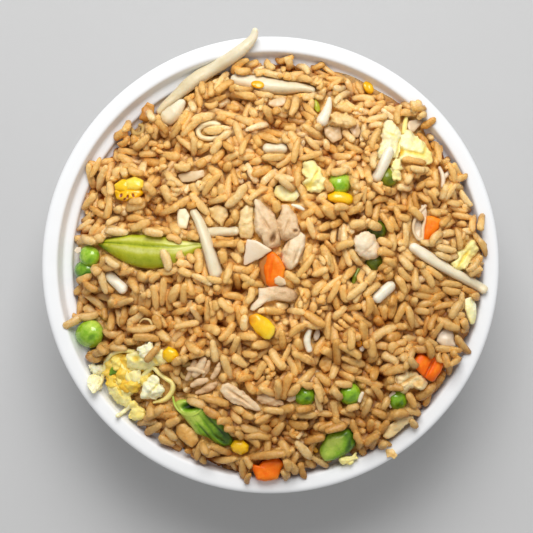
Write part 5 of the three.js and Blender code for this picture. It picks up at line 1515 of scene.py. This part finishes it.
WEB_DROP = 1.7
CORE_EDGE = 69.0
SIDE_RADIUS = 62
SIDE_LEVELS = np.array([[0.999, 34.0], [0.93, 26.0], [0.8, 14.0], [0.66, 5.0]])
SIDE_LIMITS = [WALL, 6.1, WALL_TOP[1]], [BASE_RADIUS - 4, BASE_RADIUS + 1.2, WALL_TOP[0] - 0.9]
# Painted light: the rice's tone rises towards +Y, the side the lamp stands on.
PAINTED_LIGHT_SLOPE = 0.0019
LEAST_SEEN = 6
GRAINS_A_PIECE = 1300
SUNK = 0.4
GRAIN_RINGS = np.array([-0.965, -0.83, -0.5, 0.0, 0.5, 0.83, 0.965])
GRAIN_SIDES = 10
# Painted shade: where and how much the rice is darkened, towards the rim on the -Y side, away from the
# lamp.
LOW_SHADE_FROM, LOW_SHADE_FADE = 28, 50
LOW_SHADE_RADIUS, LOW_SHADE_RIM = 27, 28


def soaked(x, y):
    """How much painted shade darkens the rice at a place, from 0 to 1: none in the middle and on the far
    side, most towards the rim on the near side, away from the lamp."""
    nearer = np.clip((LOW_SHADE_FROM - y) / LOW_SHADE_FADE, 0, 1)
    return nearer * np.clip((np.hypot(x, y) - LOW_SHADE_RADIUS) / LOW_SHADE_RIM, 0, 1)


def make_core(rings=140, sides=520):
    """The rice that has stuck together under the loose grains: the height map of the settled grains,
    with its furrows filled, a little lower than they stand, and a plain side that follows the bowl."""
    share = np.linspace(0, 1, rings + 1)[1:]
    angle = TAU * np.arange(sides) / sides
    radius, turn = np.meshgrid(share, angle, indexing="ij")
    edge = np.minimum(rice_reach(turn) + 0.2, CORE_EDGE)
    radius = radius * edge
    x, y = radius * np.cos(turn), radius * np.sin(turn)
    places = on_plan(x, y)
    z = WEB[pixel(x), pixel(y)] - WEB_DROP + 0.12 * noise(places, 1.1, 6)
    z = z - 1.2 * np.clip((radius - edge + 3) / 3, 0, 1)
    z = np.where(radius > WALL_TOP[0], np.maximum(z, bowl_top(radius) + 0.1), z)
    # Painted light: the core's tone rises towards +Y, the lamp's side, over patches that differ at random.
    tone = 0.45 + 0.25 * noise(places, 5.0, 71) + 0.15 * noise(places, 2.4, 72) + PAINTED_LIGHT_SLOPE * y
    # Painted shade: darker the further the core lies under the rice's top.
    deep = 0.5 * np.maximum(RICE_TOP[pixel(x), pixel(y)] - z, 0)
    walls = []
    for part, level in SIDE_LEVELS:
        limit = np.interp(level, *SIDE_LIMITS)
        reach = np.full(sides, min(limit, part * SIDE_RADIUS))
        walls.append(np.stack([reach * np.cos(angle), reach * np.sin(angle), np.full(sides, level)], -1))
    rows = np.concatenate([np.stack([x, y, z], -1), np.array(walls)])
    points = closed([0, 0, z[0].mean()], rows, [0, 0, 3.0])
    hidden = np.full(len(SIDE_LEVELS) * sides + 1, 0.5)
    fields = {"tone": (0.5, tone), "deep": (0.5, deep), "soaked": (0.0, soaked(x, y))}
    values = {}
    for key, (middle, field) in fields.items():
        values[key] = np.concatenate([[middle], field.ravel(), hidden])
    new_piece("rice_bed", Form(points, len(rows), sides, **values), "rice", "rice_heap", "rice")


# How a grain's shape varies: the power of its end profile, its skew, swellings, unevenness, bends
# sideways and upwards, and roll.

END_BLUNTNESS = (2.7, 6.5)
SKEW, SWELL, UNEVEN = 0.16, 0.08, 0.13
BEND, ARCH, ROLL = 0.42, (-0.1, 0.2), 0.5
BEND_MIDDLE = 0.35
SECTION_POWER = 0.7


def grain_points(grains, rng):
    """Points of many grains at once: rings round a line that bends a little, with a blunt-ended
    profile, flattened, swollen by a few waves, leant, turned and moved to their places."""
    x, y, centre, angle, pitch, length, width = (part[:, None] for part in grains.T)
    count = len(grains)
    side = TAU * np.arange(GRAIN_SIDES) / GRAIN_SIDES
    share = GRAIN_RINGS
    profile = (1 - np.abs(share) ** rng.uniform(*END_BLUNTNESS, (count, 1))) ** 0.5
    skew = rng.uniform(-SKEW, SKEW, (count, 1))
    swell = 1 + skew * share + rng.uniform(-SWELL, SWELL, (count, len(share)))
    across = profile * swell * width / 2
    bend = rng.normal(0, BEND, (count, 1)) * (share**2 - BEND_MIDDLE)
    arch = rng.normal(*ARCH, (count, 1)) * (share**2 - BEND_MIDDLE)
    roll = rng.uniform(-ROLL, ROLL, (count, 1))
    section = np.sign(np.sin(side)) * np.abs(np.sin(side)) ** SECTION_POWER
    uneven = 1 + rng.uniform(-UNEVEN, UNEVEN, (count, len(share), GRAIN_SIDES))
    local_y = (across[:, :, None] * np.cos(side) + bend[:, :, None]) * uneven
    local_z = (across[:, :, None] * section * GRAIN_FLATNESS + arch[:, :, None]) * uneven
    local_x = np.broadcast_to((share * length / 2)[:, :, None], local_y.shape)
    local = np.stack([local_x, local_y, local_z], -1).reshape(count, -1, 3)
    first, last = (
        np.stack([end * length[:, 0] / 2, bend[:, ring], arch[:, ring]], -1)[:, None]
        for end, ring in ((-1, 0), (1, -1)))
    along, aside, up = np.moveaxis(np.concatenate([first, local, last], axis=1), -1, 0)
    aside, up = aside * np.cos(roll) - up * np.sin(roll), aside * np.sin(roll) + up * np.cos(roll)
    along, up = along * np.cos(pitch) - up * np.sin(pitch), along * np.sin(pitch) + up * np.cos(pitch)
    cos, sin = np.cos(angle), np.sin(angle)
    return np.stack([x + along * cos - aside * sin, y + along * sin + aside * cos, centre + up], -1)


def make_grains():
    """All grains that can be seen, as a few joined meshes of one material, each grain with its tone and its
    painted shade.
    """
    rng = np.random.default_rng(21)
    kept = GRAINS[SEEN > LEAST_SEEN]
    points = grain_points(kept, rng)
    radius = np.hypot(points[..., 0], points[..., 1])
    floor = np.where(radius > WALL_TOP[0], bowl_top(radius) - SUNK, -np.inf)
    points[..., 2] = np.maximum(points[..., 2], floor)
    x, y, z = np.moveaxis(points, -1, 0)
    middle = kept[:, 2][:, None]
    # Painted shade: how far each point lies under the rice's top, and below its grain's own middle.
    deep = 0.5 * (RICE_TOP[pixel(x), pixel(y)] - z)
    deep = np.maximum(deep, 0) + 0.55 * np.clip(middle + 0.55 - z, 0, 1.2)
    places = on_plan(kept[:, 0], kept[:, 1])
    # The tone differs at random by grain and in patches, and rises towards +Y as painted light.
    tone = rng.normal(0.5, 0.14, len(kept)) + 0.2 * noise(places, 5.0, 71) + PAINTED_LIGHT_SLOPE * kept[:, 1]
    tone = np.repeat(np.clip(tone, 0, 1)[:, None], points.shape[1], axis=1)
    for number, first in enumerate(range(0, len(kept), GRAINS_A_PIECE), 1):
        part = slice(first, first + GRAINS_A_PIECE)
        form = Form(points[part], len(GRAIN_RINGS), GRAIN_SIDES, len(points[part]), tone=tone[part],
                    deep=deep[part], soaked=soaked(x, y)[part])
        new_piece(f"rice_grains_{number}", form, "rice", "rice_heap", "rice")


make_bowl()
make_core()
make_grains()
for name, *rest in TOPPINGS:
    new_piece(f"{name}_look", *rest)

# ---- Floor, light and camera -------------------------------------------------------------------------


def make_floor(half=3.0):
    """A plain pale table top, far wider than the view."""
    mesh = bpy.data.meshes.new("table_top")
    corners = [(-half, -half, 0), (half, -half, 0), (half, half, 0), (-half, half, 0)]
    mesh.from_pydata(corners, [], [(0, 1, 2, 3)])
    table = bpy.data.objects.new("table_top", mesh)
    bpy.context.scene.collection.objects.link(table)
    finish = plain_finish("table_paper", 0.9, 40.0, (197, 197, 197), (199, 199, 199))
    mesh.materials.append(finish.material)


def add_light(name, place, size, power):
    """A square area light that looks at the bowl's rim."""
    data = bpy.data.lights.new(name, "AREA")
    data.shape, data.size, data.energy = "SQUARE", size, power
    light = bpy.data.objects.new(name, data)
    bpy.context.scene.collection.objects.link(light)
    light.location = place
    aim = Vector((0, 0, BOWL_HEIGHT * MM)) - light.location
    light.rotation_euler = aim.to_track_quat("-Z", "Y").to_euler()


def add_camera(x, y, distance, view_width):
    """Straight down from a distance over the rim, where the view is `view_width` wide."""
    data = bpy.data.cameras.new("camera")
    camera = bpy.data.objects.new("camera", data)
    bpy.context.scene.collection.objects.link(camera)
    data.sensor_width = 36
    data.lens = data.sensor_width * distance / view_width
    camera.location = (x, y, BOWL_HEIGHT * MM + distance)
    bpy.context.scene.camera = camera


def set_world(strength):
    """Even white light from all sides."""
    world = bpy.data.worlds.new("studio")
    world.use_nodes = True
    inputs = world.node_tree.nodes["Background"].inputs
    inputs["Color"].default_value = (1, 1, 1, 1)
    inputs["Strength"].default_value = strength
    bpy.context.scene.world = world


make_floor()
add_light("key", place=(-0.01, 0.54, 0.78), size=0.55, power=7.6)
add_camera(x=-0.0013, y=-0.0005, distance=0.65, view_width=0.1746)
set_world(0.42)
bpy.context.scene.view_settings.view_transform = "Standard"
